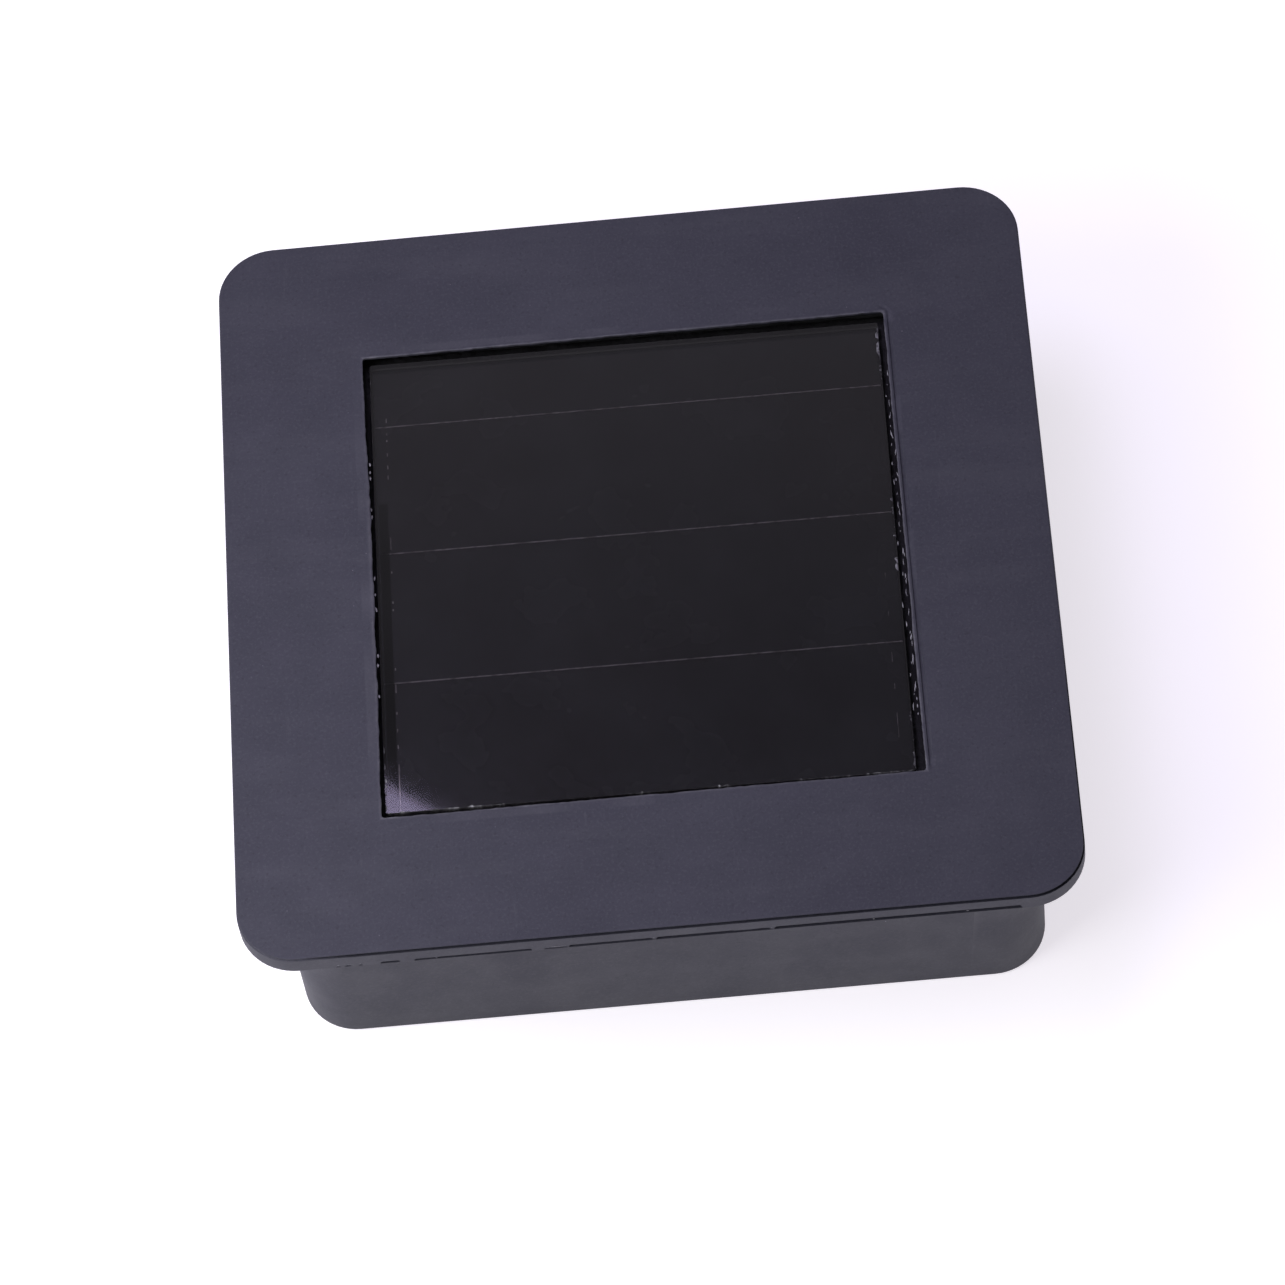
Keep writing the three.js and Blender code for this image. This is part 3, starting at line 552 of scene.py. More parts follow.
def floor_paint():
    """A matte white sweep, lit from beneath a little like a light table."""
    paint = Paint("floor_white", Roughness=0.9, Specular_IOR_Level=0.1, Emission_Strength=0.66)
    tone = paint.range(paint.noise(60, 3))
    paint.colour(paint.blend(tone, (0.65, 0.65, 0.655), (0.67, 0.67, 0.67)))
    paint.shader.inputs["Emission Color"].default_value = (1.0, 0.958, 1.022, 1)
    return paint.material


MOULDED = {                             # name, dark and light colour, roughness from and to
    "black_plastic": ("black_abs", (0.010, 0.010, 0.011), (0.016, 0.016, 0.018), 0.4, 0.55),
    "white_nylon": ("natural_nylon", (0.56, 0.54, 0.48), (0.64, 0.62, 0.57), 0.4, 0.55),
    "back_paint": ("back_paint", (0.040, 0.042, 0.047), (0.052, 0.054, 0.060), 0.7, 0.85),
    "ferrite": ("ferrite", (0.022, 0.021, 0.022), (0.034, 0.033, 0.035), 0.6, 0.8),
    "red_pvc": ("red_pvc", (0.38, 0.010, 0.008), (0.50, 0.016, 0.012), 0.3, 0.42),
    "black_pvc": ("black_pvc", (0.008, 0.008, 0.008), (0.014, 0.014, 0.014), 0.3, 0.42),
}
METALS = {                              # the same, then how its streaks are stretched
    "steel": ("drawn_steel", (0.40, 0.41, 0.42), (0.56, 0.57, 0.58), 0.22, 0.36),
    "zinc": ("zinc_plate", (0.34, 0.36, 0.39), (0.50, 0.52, 0.54), 0.3, 0.45, (1, 1, 1)),
    "copper": ("copper_wire", (0.42, 0.13, 0.05), (0.66, 0.27, 0.12), 0.25, 0.4),
    "brass_parts": ("brass_strip", (0.42, 0.28, 0.09), (0.58, 0.41, 0.16), 0.25, 0.4),
    "bronze": ("sintered_bronze", (0.20, 0.11, 0.04), (0.34, 0.20, 0.09), 0.5, 0.7, (1, 1, 1)),
}
PAINTS = {
    "shell_plastic": shell_paint("charcoal_abs", (0.145, 0.142, 0.160)),
    "pane_glass": glass_paint(),
    "silicon_film": silicon_paint(),
    "foam": rubber_paint("cell_foam", (0.005, 0.005, 0.005), (0.014, 0.014, 0.014),
                         0.85, 1, 0.4, 0.12),
    "sealant": rubber_paint("silicone_bead", (0.005, 0.0048, 0.0056), (0.011, 0.0105, 0.012),
                            0.5, 0.75, 0.6, 0.2, 0.3),
}
PAINTS |= {slot: moulded_paint(*look) for slot, look in MOULDED.items()}
PAINTS |= {slot: metal_paint(*look) for slot, look in METALS.items()}
BARE_BACKING = rubber_paint("bare_backing", (0.0006, 0.0006, 0.0006), (0.0012, 0.0012, 0.0012),
                            0.9, 1, 0.6, 0.02, 0.02)
CUT_PLASTIC = shell_paint("cut_plastic", (0.29, 0.285, 0.31))
GROUND_GLASS = ground_glass_paint()
SCRIBE = scribe_paint()


# -------- pieces

def piece(obj, name, slot, nodes=(), body="housing", wear=None, sharp=35, materials=None):
    """Names a finished mesh, gives it its material and puts it on its body.

    wear(point) says how worn each point is, 0 to 1, for the paint to read."""
    obj.name = name
    obj.data.name = name
    obj.data.materials.clear()
    for material in materials or [PAINTS[slot]]:
        obj.data.materials.append(material)
    obj.data.shade_smooth()
    obj.data.set_sharp_from_angle(angle=math.radians(sharp))
    if wear:
        layer = obj.data.attributes.new("wear", "FLOAT", "POINT")
        for vertex in obj.data.vertices:
            layer.data[vertex.index].value = wear(vertex.co / MM)
    normals = obj.modifiers.new("even_normals", "WEIGHTED_NORMAL")
    normals.keep_sharp = True
    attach(obj, body)
    if nodes:
        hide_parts(*nodes)
    return obj


def refined(node, fillet, body="housing"):
    """A CAD node's own solid with its edges rounded."""
    made = bmesh.new()
    made.from_mesh(frame["nodes"][node].data)
    bmesh.ops.remove_doubles(made, verts=made.verts, dist=2e-6)
    bmesh.ops.dissolve_limit(made, angle_limit=math.radians(1), verts=made.verts, edges=made.edges)
    obj = softened(built(made, node), fillet, 2, 25)
    return piece(obj, node + "_fine", slot_of(node), [node], body)


def slot_of(node):
    return next(part["material_slot"] for part in frame["record"]["subparts"] if part["node"] == node)


# -------- places of the screws

CORNERS = around(56.5 * math.sqrt(2), 4, math.pi / 4)
TRAY_BOLTS = around(57.5, 4)
GRILLE_BOLTS = around(46.6, 4)
BRACKET_BOLTS = around(50.0, 4, math.pi / 4)
DECK_BOLTS = around(59.5, 4)
MOTOR_BOLTS = around(8.5, 2)


# -------- cover

COVER_STRAIGHT = 260
COVER_BENDS = 14
DASHES = (                              # start, end, depth and how much taller than the rest
    (-50.1, -47.1, 0.45, 0.0), (-44, -40.4, 0.45, 0.0), (-39.8, -23.4, 0.5, 0.05),
    (-16.8, -2.3, 0.55, 0.15), (-1.3, 12.3, 0.6, 0.3), (12.4, 18.5, 0.3, 0.2),
    (19.6, 62.9, 0.65, 0.35))
RIM_FLECKS = ((-57.6, 0.7), (-55.6, 1.0), (-53.8, 0.5), (-19.2, 4.0), (-1.8, 0.5), (19.0, 0.6),
              (36.9, 0.4), (53.4, 0.5))


def fade(s, reach, width):
    """1 along a side, falling to 0 over the last width millimetres before its corner."""
    return clamped((reach - abs(s)) / width)


def window_edge(push, lift, crest):
    """The hand-cut window edge: wavy in plan, with a burr whose crest comes and goes."""
    def nudge(side, s):
        keep = fade(s, WINDOW_HALF - WINDOW_CORNER, 1.5)
        wave = 0.09 * rough(s, side + 1, 14) + 0.10 * rough(s, side + 5, 3.1)
        if side == 2:
            wave -= 0.3 * fade(s, 36, 14) * (1 + 0.5 * rough(s, 26, 2.4))
        tooth = 0.09 * rough(s, side + 9, 0.9)
        height = crest * (0.5 + 0.5 * rough(s, side + 13, 4.3))
        return (push * keep * (wave + tooth), keep * height + lift)
    return nudge


def crease(side, s):
    """A pressed line just outside the window's right side."""
    if side != 0:
        return (0.0, 0.0)
    return (0.05 * rough(s, 22, 9), -0.34 * fade(s, WINDOW_HALF, 3) * (0.7 + 0.5 * rough(s, 21, 7)))


def flash_line(cut, tall):
    """The parting line at the rim's foot: a groove in dashes, shifted from one side to the next."""
    def nudge(side, s):
        spot = s if side == 3 else s + 9 * side
        for start, end, depth, rise in DASHES:
            if start <= spot <= end:
                return (-cut * depth * (1 + 0.25 * rough(s, 84, 2.3)), tall * rise)
        nick = any(abs(spot - place) < length / 2 for place, length in RIM_FLECKS)
        return (-0.14 * cut if nick else 0.0, 0.0)
    return nudge


def seam_open(side, s):
    """How open the seam is: all along the front, dying away round its two corners."""
    reach = COVER_HALF - COVER_CORNER
    if side == 3:
        return min(1.0, 0.25 + 0.06 * (s + reach))
    if side == 0:
        return clamped((-20 - s) / 35)
    if side == 2:
        return 0.25 * max(0.0, 1 - (reach - s) / 12)
    return 0.0


def seam_nudge(inward, down, open_inward, open_down):
    def nudge(side, s):
        gap = seam_open(side, s)
        wave = 0.02 * (1 + rough(s, side + 80, 6))
        return (-gap * (open_inward - inward + wave), -gap * (open_down - down))
    return nudge


def cover_loops():
    def outer(half, z, corner=None, nudge=None):
        radius = COVER_CORNER - (COVER_HALF - half) if corner is None else corner
        return square_loop(half, radius, z, COVER_STRAIGHT, COVER_BENDS, nudge)

    def window(grow, z, nudge=None):
        return square_loop(WINDOW_HALF + grow, WINDOW_CORNER + grow, z, COVER_STRAIGHT, COVER_BENDS,
                           nudge, (0.0, WINDOW_SHIFT))

    bottom = COVER_TOP - COVER_EDGE
    flat = COVER_TOP - COVER_SKIN
    rim = filleted([
        (LIP_INNER, COVER_UNDERSIDE, 0.3, 5.7), (LIP_INNER, LIP_BOTTOM, 0.3, 5.7),
        (LIP_OUTER, LIP_BOTTOM, 0.3, 7.3), (LIP_OUTER, COVER_UNDERSIDE, 0.3, 7.3),
        (COVER_RIM_INSIDE, COVER_UNDERSIDE, 0.4, 8.1), (COVER_RIM_INSIDE, bottom, 0.25, 8.1),
        (COVER_HALF, bottom, 0.07, COVER_CORNER), (COVER_HALF, bottom + 1, 0, COVER_CORNER),
    ], False)
    loops = [outer(half, z, corner) for half, z, corner in rim[:-1]]
    loops += [
        outer(COVER_HALF, bottom + 0.09),
        outer(COVER_HALF, bottom + 0.12, nudge=flash_line(1, 0)),
        outer(COVER_HALF, bottom + 0.74, nudge=flash_line(1, 1)),
        outer(COVER_HALF, bottom + 0.78, nudge=flash_line(0, 1)),
    ]
    loops += [outer(COVER_HALF - inward, COVER_TOP - down,
                    nudge=seam_nudge(inward, down, open_inward, open_down))
              for inward, down, open_inward, open_down in SEAM_PROFILE]
    loops.append(outer(COVER_HALF - 1.6, flat))
    loops += [window(grow, flat) for grow in (3.0, 2.1, 1.8, 1.45)]
    loops += [window(grow, flat, crease) for grow in (1.15, 0.75)]
    loops.append(window(0.6, flat))
    loops += [window(grow, flat, window_edge(*edge)) for grow, *edge in WINDOW_BURR]
    loops += [
        window(0.0, COVER_TOP - WINDOW_LAND, window_edge(1.0, 0.0, 0.0)),
        window(WINDOW_UNDERCUT * 0.4, COVER_TOP - 1.5),
        window(WINDOW_UNDERCUT, COVER_UNDERSIDE + 0.1),
        window(WINDOW_UNDERCUT + 0.1, COVER_UNDERSIDE),
    ]
    return loops


def cover_wear(point):
    """Whitened plastic on the window's burr, most at the right, and streaks beside it at the left."""
    if point.z < COVER_TOP - 0.5:
        return 0.0
    x, y = point.x, point.y - WINDOW_SHIFT
    window = max(abs(x), abs(y)) - WINDOW_HALF
    if window > 2:
        return 0.0
    along = y if abs(x) > abs(y) else x
    if window > 0.5:
        return 0.10 * fade(along, 44, 14) * max(0.0, 0.5 + rough(along, 33, 7)) if x < 0 else 0.0
    spread = 0.7 + 0.8 * rough(along, 31, 2.2) + 0.6 * rough(along, 32, 0.8)
    crest = clamped((0.42 - window) / 0.25)
    side = 0.42 if x > abs(y) else 0.22 if -x > abs(y) else 0.36
    return clamped(crest * side * spread)


def make_cover():
    cover = loft(cover_loops(), closed=True)
    posts = rods(CORNERS, 3.8, 6.3, COVER_UNDERSIDE + 0.5, 0.3)
    bosses = rods(TRAY_BOLTS, 2.7, 39.9, COVER_UNDERSIDE + 0.5, 0.2)
    united(cover, posts + bosses)
    without(cover, drills(CORNERS, 1.3, 5, 18) + drills(TRAY_BOLTS, 0.85, 39, COVER_TOP - 0.8))
    piece(cover, "cover_moulding", "shell_plastic", ["top_cover"], wear=cover_wear)


def sliver(x, y, z, length, width, turn, seed, curl=1.0):
    """A curl of cut plastic lying near (x, y, z), thickest in its middle."""
    steps = 7
    loops = []
    for k in range(steps):
        t = k / (steps - 1)
        size = width * (0.25 + 0.75 * math.sin(math.pi * t)) * (0.8 + 0.4 * rough(k, seed, 1.3))
        along = (t - 0.5) * length
        bow = curl * 0.18 * length * (1 - (2 * t - 1) ** 2) * rough(seed, 5, 1.9)
        loops.append([Vector((bow + size * px, along, 0.7 * size * py)) for px, py, _ in around(1, 6)])
    return moved(loft(loops), x, y, z, turn + 0.35 * curl * rough(seed, 9, 1.7))


SWARF_RIGHT = ((22.6, 1.6), (26.5, 0.7), (13.0, 0.6), (-2.2, 1.4), (-7.4, 1.0), (-19.2, 0.6),
               (-20.3, 1.0), (-24.9, 2.0), (-30.4, 2.2), (-32.9, 0.7), (-34.4, 0.8), (-36.0, 0.5))
SWARF_LEFT = ((25.9, 0.7), (24.2, 0.6), (22.9, 0.8), (16.2, 0.8), (14.6, 0.9), (1.5, 0.8),
              (-1.9, 0.6), (-5.0, 1.0), (-14.7, 0.8), (-16.7, 0.8), (-23.1, 0.7))
GOLDEN = (math.sqrt(5) - 1) / 2         # spreads the crumbs without a pattern


def make_swarf():
    """Whitened curls and crumbs of plastic, in the window's side gaps and the rim's parting line."""
    bits = []
    for k, (y, length) in enumerate(SWARF_RIGHT):
        width = 0.13 + 0.05 * rough(k, 41, 0.7)
        bits.append(sliver(48.0 + 0.14 * rough(k, 40, 0.9), y, PANE_TOP - 0.1, length, width, 0, k))
    for k in range(34):
        y = 36 - 72 * (k * GOLDEN % 1)
        length = 0.9 + 1.6 * rough(k, 46, 0.8)
        side = rough(k, 47, 0.9)
        x = 47.95 + 0.9 * side - math.tan(PANE_TURN) * y * (side < 0)
        bits.append(sliver(x, y, PANE_TOP - 0.1, length, 0.06 + 0.07 * abs(side), 0, k + 90))
    for k, (y, length) in enumerate(SWARF_LEFT):
        width = 0.22 + 0.05 * rough(k, 43, 0.7)
        bits.append(sliver(-47.98 + 0.1 * rough(k, 42, 0.9), y, PANE_TOP + 0.55, length, width, 0,
                           k + 30))
    for k, (x, length) in enumerate(RIM_FLECKS):
        bits.append(sliver(x, -COVER_HALF + 0.13, COVER_TOP - COVER_EDGE + 0.55, length, 0.1,
                           math.pi / 2, k + 60, 0.02))
    piece(joined(bits), "cutting_swarf", "shell_plastic", wear=lambda point: 1.0,
          materials=[CUT_PLASTIC])


# -------- housing

HOUSING_STRAIGHT = 26
HOUSING_BENDS = 14


def housing_loop(kind, size, z):
    corner = max(0.6, HOUSING_CORNER - (HOUSING_HALF - size))
    square = square_loop(size, corner, z, HOUSING_STRAIGHT, HOUSING_BENDS)
    if kind == "square":
        return square
    return [Vector((p.x, p.y, 0)).normalized() * size + Vector((0, 0, z)) for p in square]


def slot_cutter(y):
    """One exhaust slot with round corners, cut through the wall on the +X side."""
    middle = SLOT_BOTTOM + SLOT_HEIGHT / 2
    outline = round_rectangle(SLOT_WIDTH / 2, SLOT_HEIGHT / 2, 2, 6)
    return loft([[Vector((x, y + a, middle + b)) for a, b in outline]
                 for x in (HOUSING_HALF - WALL - 1, HOUSING_HALF + 1)])


def make_housing():
    section = filleted([
        (HOUSING_HALF, 0, 0.9, "square"), (HOUSING_HALF, HOUSING_TOP, 0.35, "square"),
        (HOUSING_HALF - WALL, HOUSING_TOP, 0.35, "square"),
        (HOUSING_HALF - WALL, FLOOR, 1.2, "square"), (PAD_RADIUS, FLOOR, 0.5, "round"),
        (PAD_RADIUS, PAD_TOP, 0.3, "round"), (DUCT_RADIUS + DUCT_WALL, PAD_TOP, 0.8, "round"),
        (DUCT_RADIUS + DUCT_WALL, DUCT_TOP, 0.5, "round"), (DUCT_RADIUS, DUCT_TOP, 0.5, "round"),
        (DUCT_RADIUS, SEAT_TOP, 0.6, "round"), (GRILLE_SEAT, SEAT_TOP, 0.15, "round"),
        (GRILLE_SEAT, 0, 0.3, "round"),
    ], True, 5)
    body = loft([housing_loop(kind, size, z) for size, z, kind in section], closed=True)
    ends = 0.3
    united(body, rods(CORNERS, 5.2, 1.2, 6, ends) + rods(DECK_BOLTS, 3.5, 1.2, 10, ends)
           + rods(GRILLE_BOLTS, 3.2, 3.4, 9.5, ends)
           + rods(BRACKET_BOLTS, 3.5, 3.4, DUCT_TOP, ends))
    without(body, rods(CORNERS, 3.4, -1, 3) + drills(DECK_BOLTS, 1.3, -1, 8.8)
            + drills(GRILLE_BOLTS, 0.95, 1.5, 8.6)
            + drills(BRACKET_BOLTS, 1.1, 9, DUCT_TOP + 1))
    without(body, drills(CORNERS, 1.75, 2, 7))
    slots = joined([slot_cutter((column - 1) * SLOT_PITCH) for column in range(3)])
    without(body, ring(slots, around(1, 4)))
    softened(body, 0.2, 2, 60)
    piece(body, "housing_moulding", "shell_plastic", ["housing"])


# -------- grille

def make_grille():
    bottom = GRILLE_LO.z
    top = GRILLE_HI.z
    edge = 0.35
    rim = tube(GRILLE_FLANGE, GRILLE_RADIUS, bottom, top, edge, 96)
    disc = rod(GRILLE_DISC, bottom, top, fillet=edge, steps=96)
    rings = [tube(r, r + GRILLE_BAR, bottom, top, edge, 96) for r in GRILLE_RINGS]
    grille = joined([rim, disc] + rings)
    spoke = bar(GRILLE_DISC - 1, GRILLE_FLANGE + 1, -GRILLE_BAR / 2, GRILLE_BAR / 2,
                bottom + 0.15, top - 0.15, 0.25)
    united(grille, ring(spoke, around(1, 6, math.pi / 6)))
    sinks = [turned([(0, -1, 0), (2.5, -1, 0), (2.5, 0.3, 0), (1.2, 1.5, 0), (1.2, 3, 0), (0, 3, 0)],
                    32, x, y) for x, y, _ in GRILLE_BOLTS]
    without(grille, sinks)
    piece(grille, "grille_moulding", "shell_plastic", ["intake_grille"])


# -------- impeller

def blade_section(radius, steps=16):
    outward = (radius - HUB_RADIUS) / (BLADE_TIP - HUB_RADIUS)
    pitch = math.radians(40 - 19 * outward)
    chord = 15 + 11 * outward
    thick = 1.7 - 0.6 * outward
    camber = 0.07 * chord

    def side(sign):
        points = []
        for k in range(steps + 1):
            t = (1 - math.cos(math.pi * k / steps)) / 2
            along = (t - 0.5) * chord
            skin = sign * thick * 0.5 * math.sqrt(max(0.004, 4 * t * (1 - t)))
            rise = camber * 4 * t * (1 - t) + skin
            points.append((-along * math.cos(pitch) + rise * math.sin(pitch),
                           along * math.sin(pitch) + rise * math.cos(pitch)))
        return points

    return side(-1) + side(1)[::-1]


def make_blade():
    middle = (HUB_BOTTOM + HUB_TOP) / 2
    sweep = math.radians(10)
    stations = [12.1, 13.5, 16, 19, 22, 25, 28, 31, 34, 37, 40, BLADE_TIP - 0.4, BLADE_TIP - 0.1]
    loops = []
    for radius in stations:
        lean = sweep * (radius - HUB_RADIUS) / (BLADE_TIP - HUB_RADIUS)
        loop = []
        for forward, up in blade_section(radius):
            angle = lean + forward / radius
            loop.append(Vector((radius * math.cos(angle), radius * math.sin(angle), middle + up)))
        loops.append(loop)
    return loft(loops)


def make_impeller():
    hub = turned([
        (0, HUB_BOTTOM, 0), (HUB_RADIUS * 0.55, HUB_BOTTOM + 0.3, 3),
        (HUB_RADIUS, HUB_BOTTOM + 3.4, 3), (HUB_RADIUS, HUB_TOP, 0.5),
        (HUB_RADIUS - 1.5, HUB_TOP, 0.5), (HUB_RADIUS - 1.5, HUB_BOTTOM + 3.2, 1),
        (3.2, HUB_BOTTOM + 3.2, 0.6), (3.2, HUB_TOP - 1.6, 0.3), (1.15, HUB_TOP - 1.6, 0.2),
        (1.15, HUB_BOTTOM + 2, 0.1), (0, HUB_BOTTOM + 2, 0),
    ], 96)
    united(hub, ring(make_blade(), around(1, BLADE_COUNT)))
    piece(hub, "impeller_moulding", "black_plastic", ["impeller"], "rotor")


# -------- motor and bracket

def make_bracket():
    inner, outer, height = BRACKET_CUP
    plate_radius = 15
    body = turned([
        (3.5, BRACKET_BOTTOM, 0.2), (plate_radius, BRACKET_BOTTOM, 0.3),
        (plate_radius, BRACKET_TOP, 0.3), (outer, BRACKET_TOP, 0.3),
        (outer, BRACKET_TOP + height, 0.3), (inner, BRACKET_TOP + height, 0.3),
        (inner, BRACKET_TOP, 0.3), (3.5, BRACKET_TOP, 0.2),
    ], 72)
    arm = bar(14.2, 50, -3.2, 3.2, BRACKET_BOTTOM, BRACKET_TOP, 0.3)
    rib = bar(13.8, 43, -0.9, 0.9, BRACKET_TOP - 0.5, BRACKET_TOP + 3, 0.3)
    united(body, ring(arm, BRACKET_BOLTS))
    united(body, rods(BRACKET_BOLTS, 4.2, BRACKET_BOTTOM, BRACKET_TOP, 0.3))
    united(body, ring(rib, BRACKET_BOLTS))
    through = (BRACKET_BOTTOM - 1, BRACKET_TOP + 1)
    without(body, drills(BRACKET_BOLTS, 1.4, *through) + drills(MOTOR_BOLTS, 1.1, *through))
    piece(body, "bracket_moulding", "black_plastic", ["motor_bracket"])


def make_motor():
    inner = MOTOR_RADIUS - 0.7
    seat = 2.55
    nose = MOTOR_BOTTOM - 1.2
    can = turned([
        (seat, nose, 0.1), (3.1, nose, 0.2), (3.1, MOTOR_BOTTOM, 0.3),
        (MOTOR_RADIUS, MOTOR_BOTTOM, 0.8), (MOTOR_RADIUS, MOTOR_TOP - 2.6, 0.2),
        (MOTOR_RADIUS - 0.15, MOTOR_TOP - 2.4, 0.1),
        (MOTOR_RADIUS - 0.15, MOTOR_TOP - 2.0, 0.1), (MOTOR_RADIUS, MOTOR_TOP - 1.8, 0.2),
        (MOTOR_RADIUS, MOTOR_TOP, 0.2), (inner, MOTOR_TOP, 0.2),
        (inner, MOTOR_BOTTOM + 0.8, 0.5), (seat, MOTOR_BOTTOM + 0.8, 0.1),
    ], 96)
    without(can, drills(MOTOR_BOLTS, 1.1, MOTOR_BOTTOM - 1, MOTOR_BOTTOM + 2))
    piece(can, "motor_can_drawn", "steel", ["motor_can"])

    rest = MOTOR_TOP + 0.3
    cap = turned([
        (seat, rest - 1.5, 0.1), (inner - 0.3, rest - 1.5, 0.3), (inner - 0.3, rest, 0.1),
        (MOTOR_RADIUS, rest, 0.2), (MOTOR_RADIUS, rest + 1.2, 0.4), (3.3, rest + 1.2, 0.3),
        (3.3, rest + 2.2, 0.3), (seat, rest + 2.2, 0.1),
    ], 96)
    without(cap, [bar(-1.5, 1.5, y - 0.5, y + 0.5, rest - 3, rest + 3) for y in (7.2, -7.2)])
    piece(cap, "motor_end_cap_moulding", "white_nylon", ["motor_end_cap"])

    for node in ("front_bush", "rear_bush"):
        lo, hi = span(node)
        piece(tube(1.07, 2.45, lo.z, hi.z, 0.15), node + "_turned", "bronze", [node])
    lo, hi = span("fan_shaft")
    shaft = rod(1, lo.z, hi.z, fillet=0.25, steps=64)
    piece(shaft, "fan_shaft_ground", "steel", ["fan_shaft"], "rotor")


def wire_turn(x, half_y, half_z):
    """One rectangular turn of round wire in a plane of constant X, about the core's middle."""
    path = [Vector((x, a, CORE_MIDDLE + b)) for a, b in round_rectangle(half_y, half_z, 0.5, 3)]
    loops = []
    for k, point in enumerate(path):
        ahead = (path[(k + 1) % len(path)] - path[k - 1]).normalized()
        side = Vector((1, 0, 0)).cross(ahead)
        loops.append([point + Vector((px, 0, 0)) + side * py for px, py, _ in around(COIL_WIRE, 8)])
    return loft(loops, closed=True)


def make_coils():
    """Each armature coil as its own turns of wire round the pole's neck, in three layers."""
    turns = 7
    first = NECK_START + COIL_WIRE
    pitch = (NECK_END - NECK_START - 2 * COIL_WIRE) / (turns - 1)
    for k in range(3):
        rings = []
        for layer in range(3):
            grow = 0.3 + layer * 2 * COIL_WIRE
            rings += [wire_turn(first + step * pitch, 1.3 + grow, 2.7 + grow - 0.15)
                      for step in range(turns)]
        coil = moved(joined(rings), turn=k * math.tau / 3)
        piece(coil, f"armature_coil_{k + 1}_wound", "copper", [f"armature_coil_{k + 1}"], "rotor")


# -------- screws

def cross_recess(radius, face, depth):
    reach = radius * 0.55
    half = radius * 0.14
    arms = bar(-reach, reach, -half, half, face - 1, face + depth)
    return united(arms, [bar(-half, half, -reach, reach, face - 1, face + depth)])


def threaded(radius, crest, length, pitch, start):
    """A shank with a helical thread and a pointed end, along +Z from z = 0."""
    steps = 24
    levels = int(length / pitch * 8)
    loops = []
    for level in range(levels + 1):
        z = length * level / levels
        taper = max(0.02, min(1.0, (length - z) / (radius * 1.6)))
        loop = []
        for k, (px, py, _) in enumerate(around(1, steps)):
            phase = (z / pitch - k / steps) % 1.0
            ridge = max(0.0, 1 - abs(phase - 0.5) / 0.22)
            swell = (crest - radius) * ridge * min(1.0, max(0.0, z - start))
            size = (radius + swell) * taper
            loop.append(Vector((size * px, size * py, z)))
        loops.append(loop)
    return loft(loops)


def screw(outline, head, recess, shank):
    """A head turned from its outline and cross-recessed, over its shank."""
    body = turned(outline, 40)
    without(body, [cross_recess(head, outline[0][1], recess)])
    return joined([body, shank])


def pan_screw(head, height, radius, crest, length):
    """A domed pan head below z = 0 over its threaded shank."""
    core = radius * 0.9
    outline = [(0, -height, 0), (head * 0.72, -height, 0.9), (head, -height * 0.4, 0.5),
               (head, 0, 0.08), (core, 0, 0), (core, 0.4, 0), (0, 0.4, 0)]
    return screw(outline, head, head * 0.42, threaded(radius, crest, length, 0.8, 0.6))


def flat_screw(head, height, radius, crest, length):
    """A countersunk head below z = 0 over its threaded shank."""
    outline = [(0, -height, 0), (head, -height, 0.1), (radius, 0, 0), (radius * 0.9, 0.3, 0),
               (0, 0.3, 0)]
    return screw(outline, head, head * 0.35, threaded(radius, crest, length, 0.7, 0.4))


def add_screws(prefix, places, pattern, z, flip=False):
    for k, (x, y, _) in enumerate(places):
        one = moved(copied(pattern), x, y, z, turn=0.4 + 1.7 * k, flip=flip)
        node = f"{prefix}_{k + 1}"
        piece(one, node + "_cut", "zinc", [node])
    drop(pattern)


def make_screws():
    add_screws("cover_screw", CORNERS, pan_screw(2.8, 2, 0.95, 1.2, 12), 2.7)
    add_screws("tray_screw", TRAY_BOLTS, pan_screw(1.9, 1.3, 0.6, 0.78, 4.6), 37.9)
    add_screws("grille_screw", GRILLE_BOLTS, flat_screw(2, 1, 0.66, 0.85, 6.8), 1.3)
    add_screws("bracket_screw", BRACKET_BOLTS, pan_screw(2.2, 1.5, 0.8, 1.0, 8), 20.4, True)
    add_screws("motor_screw", MOTOR_BOLTS, pan_screw(1.8, 0.9, 0.66, 0.85, 2.9), 18.2)


# -------- solar pane

def in_window(obj):
    """From the pane's own axes to the frame's."""
    return moved(obj, PANE_MIDDLE.x, PANE_MIDDLE.y, 0, PANE_TURN)


CHIPPED = (                             # side, start, end and how badly
    (0, 34.7, 46.8, 0.75), (0, 1.0, 9.7, 0.45), (0, -6.0, -3.2, 0.8), (0, -47.0, -35.0, 0.3),
    (2, 40.0, 42.0, 0.6), (2, 33.0, 47.0, 0.2), (3, -47.0, -26.0, 0.22), (3, -2.6, -1.4, 0.5),
    (3, 10.0, 14.0, 0.35), (3, 26.0, 47.0, 0.22), (3, 32.2, 33.2, 0.6))


def chipping(side, s):
    """How chipped the pane's edge is, 0 to 1, at a place along one of its sides."""
    worst = max([0.0] + [rate for where, start, end, rate in CHIPPED
                         if side == where and start < s < end])
    bites = max(0.0, rough(s, side + 44, 1.3)) + max(0.0, rough(s, side + 48, 0.5))
    return min(1.0, worst * (bites * 2.4 + 0.15) + 0.2 * max(0.0, bites - 0.2))


def glass_wear(point):
    """Chip marks for the edge's paint, found from the pane's nearest side."""
    turn = Matrix.Rotation(-PANE_TURN, 3, "Z")
    x, y, z = turn @ (point - PANE_MIDDLE)
    sides = ((x, y), (y, -x), (-x, -y), (-y, x))
    side = max(range(4), key=lambda k: sides[k][0])
    return chipping(side, sides[side][1]) if z > PANE_BOTTOM + 0.6 else 0.0


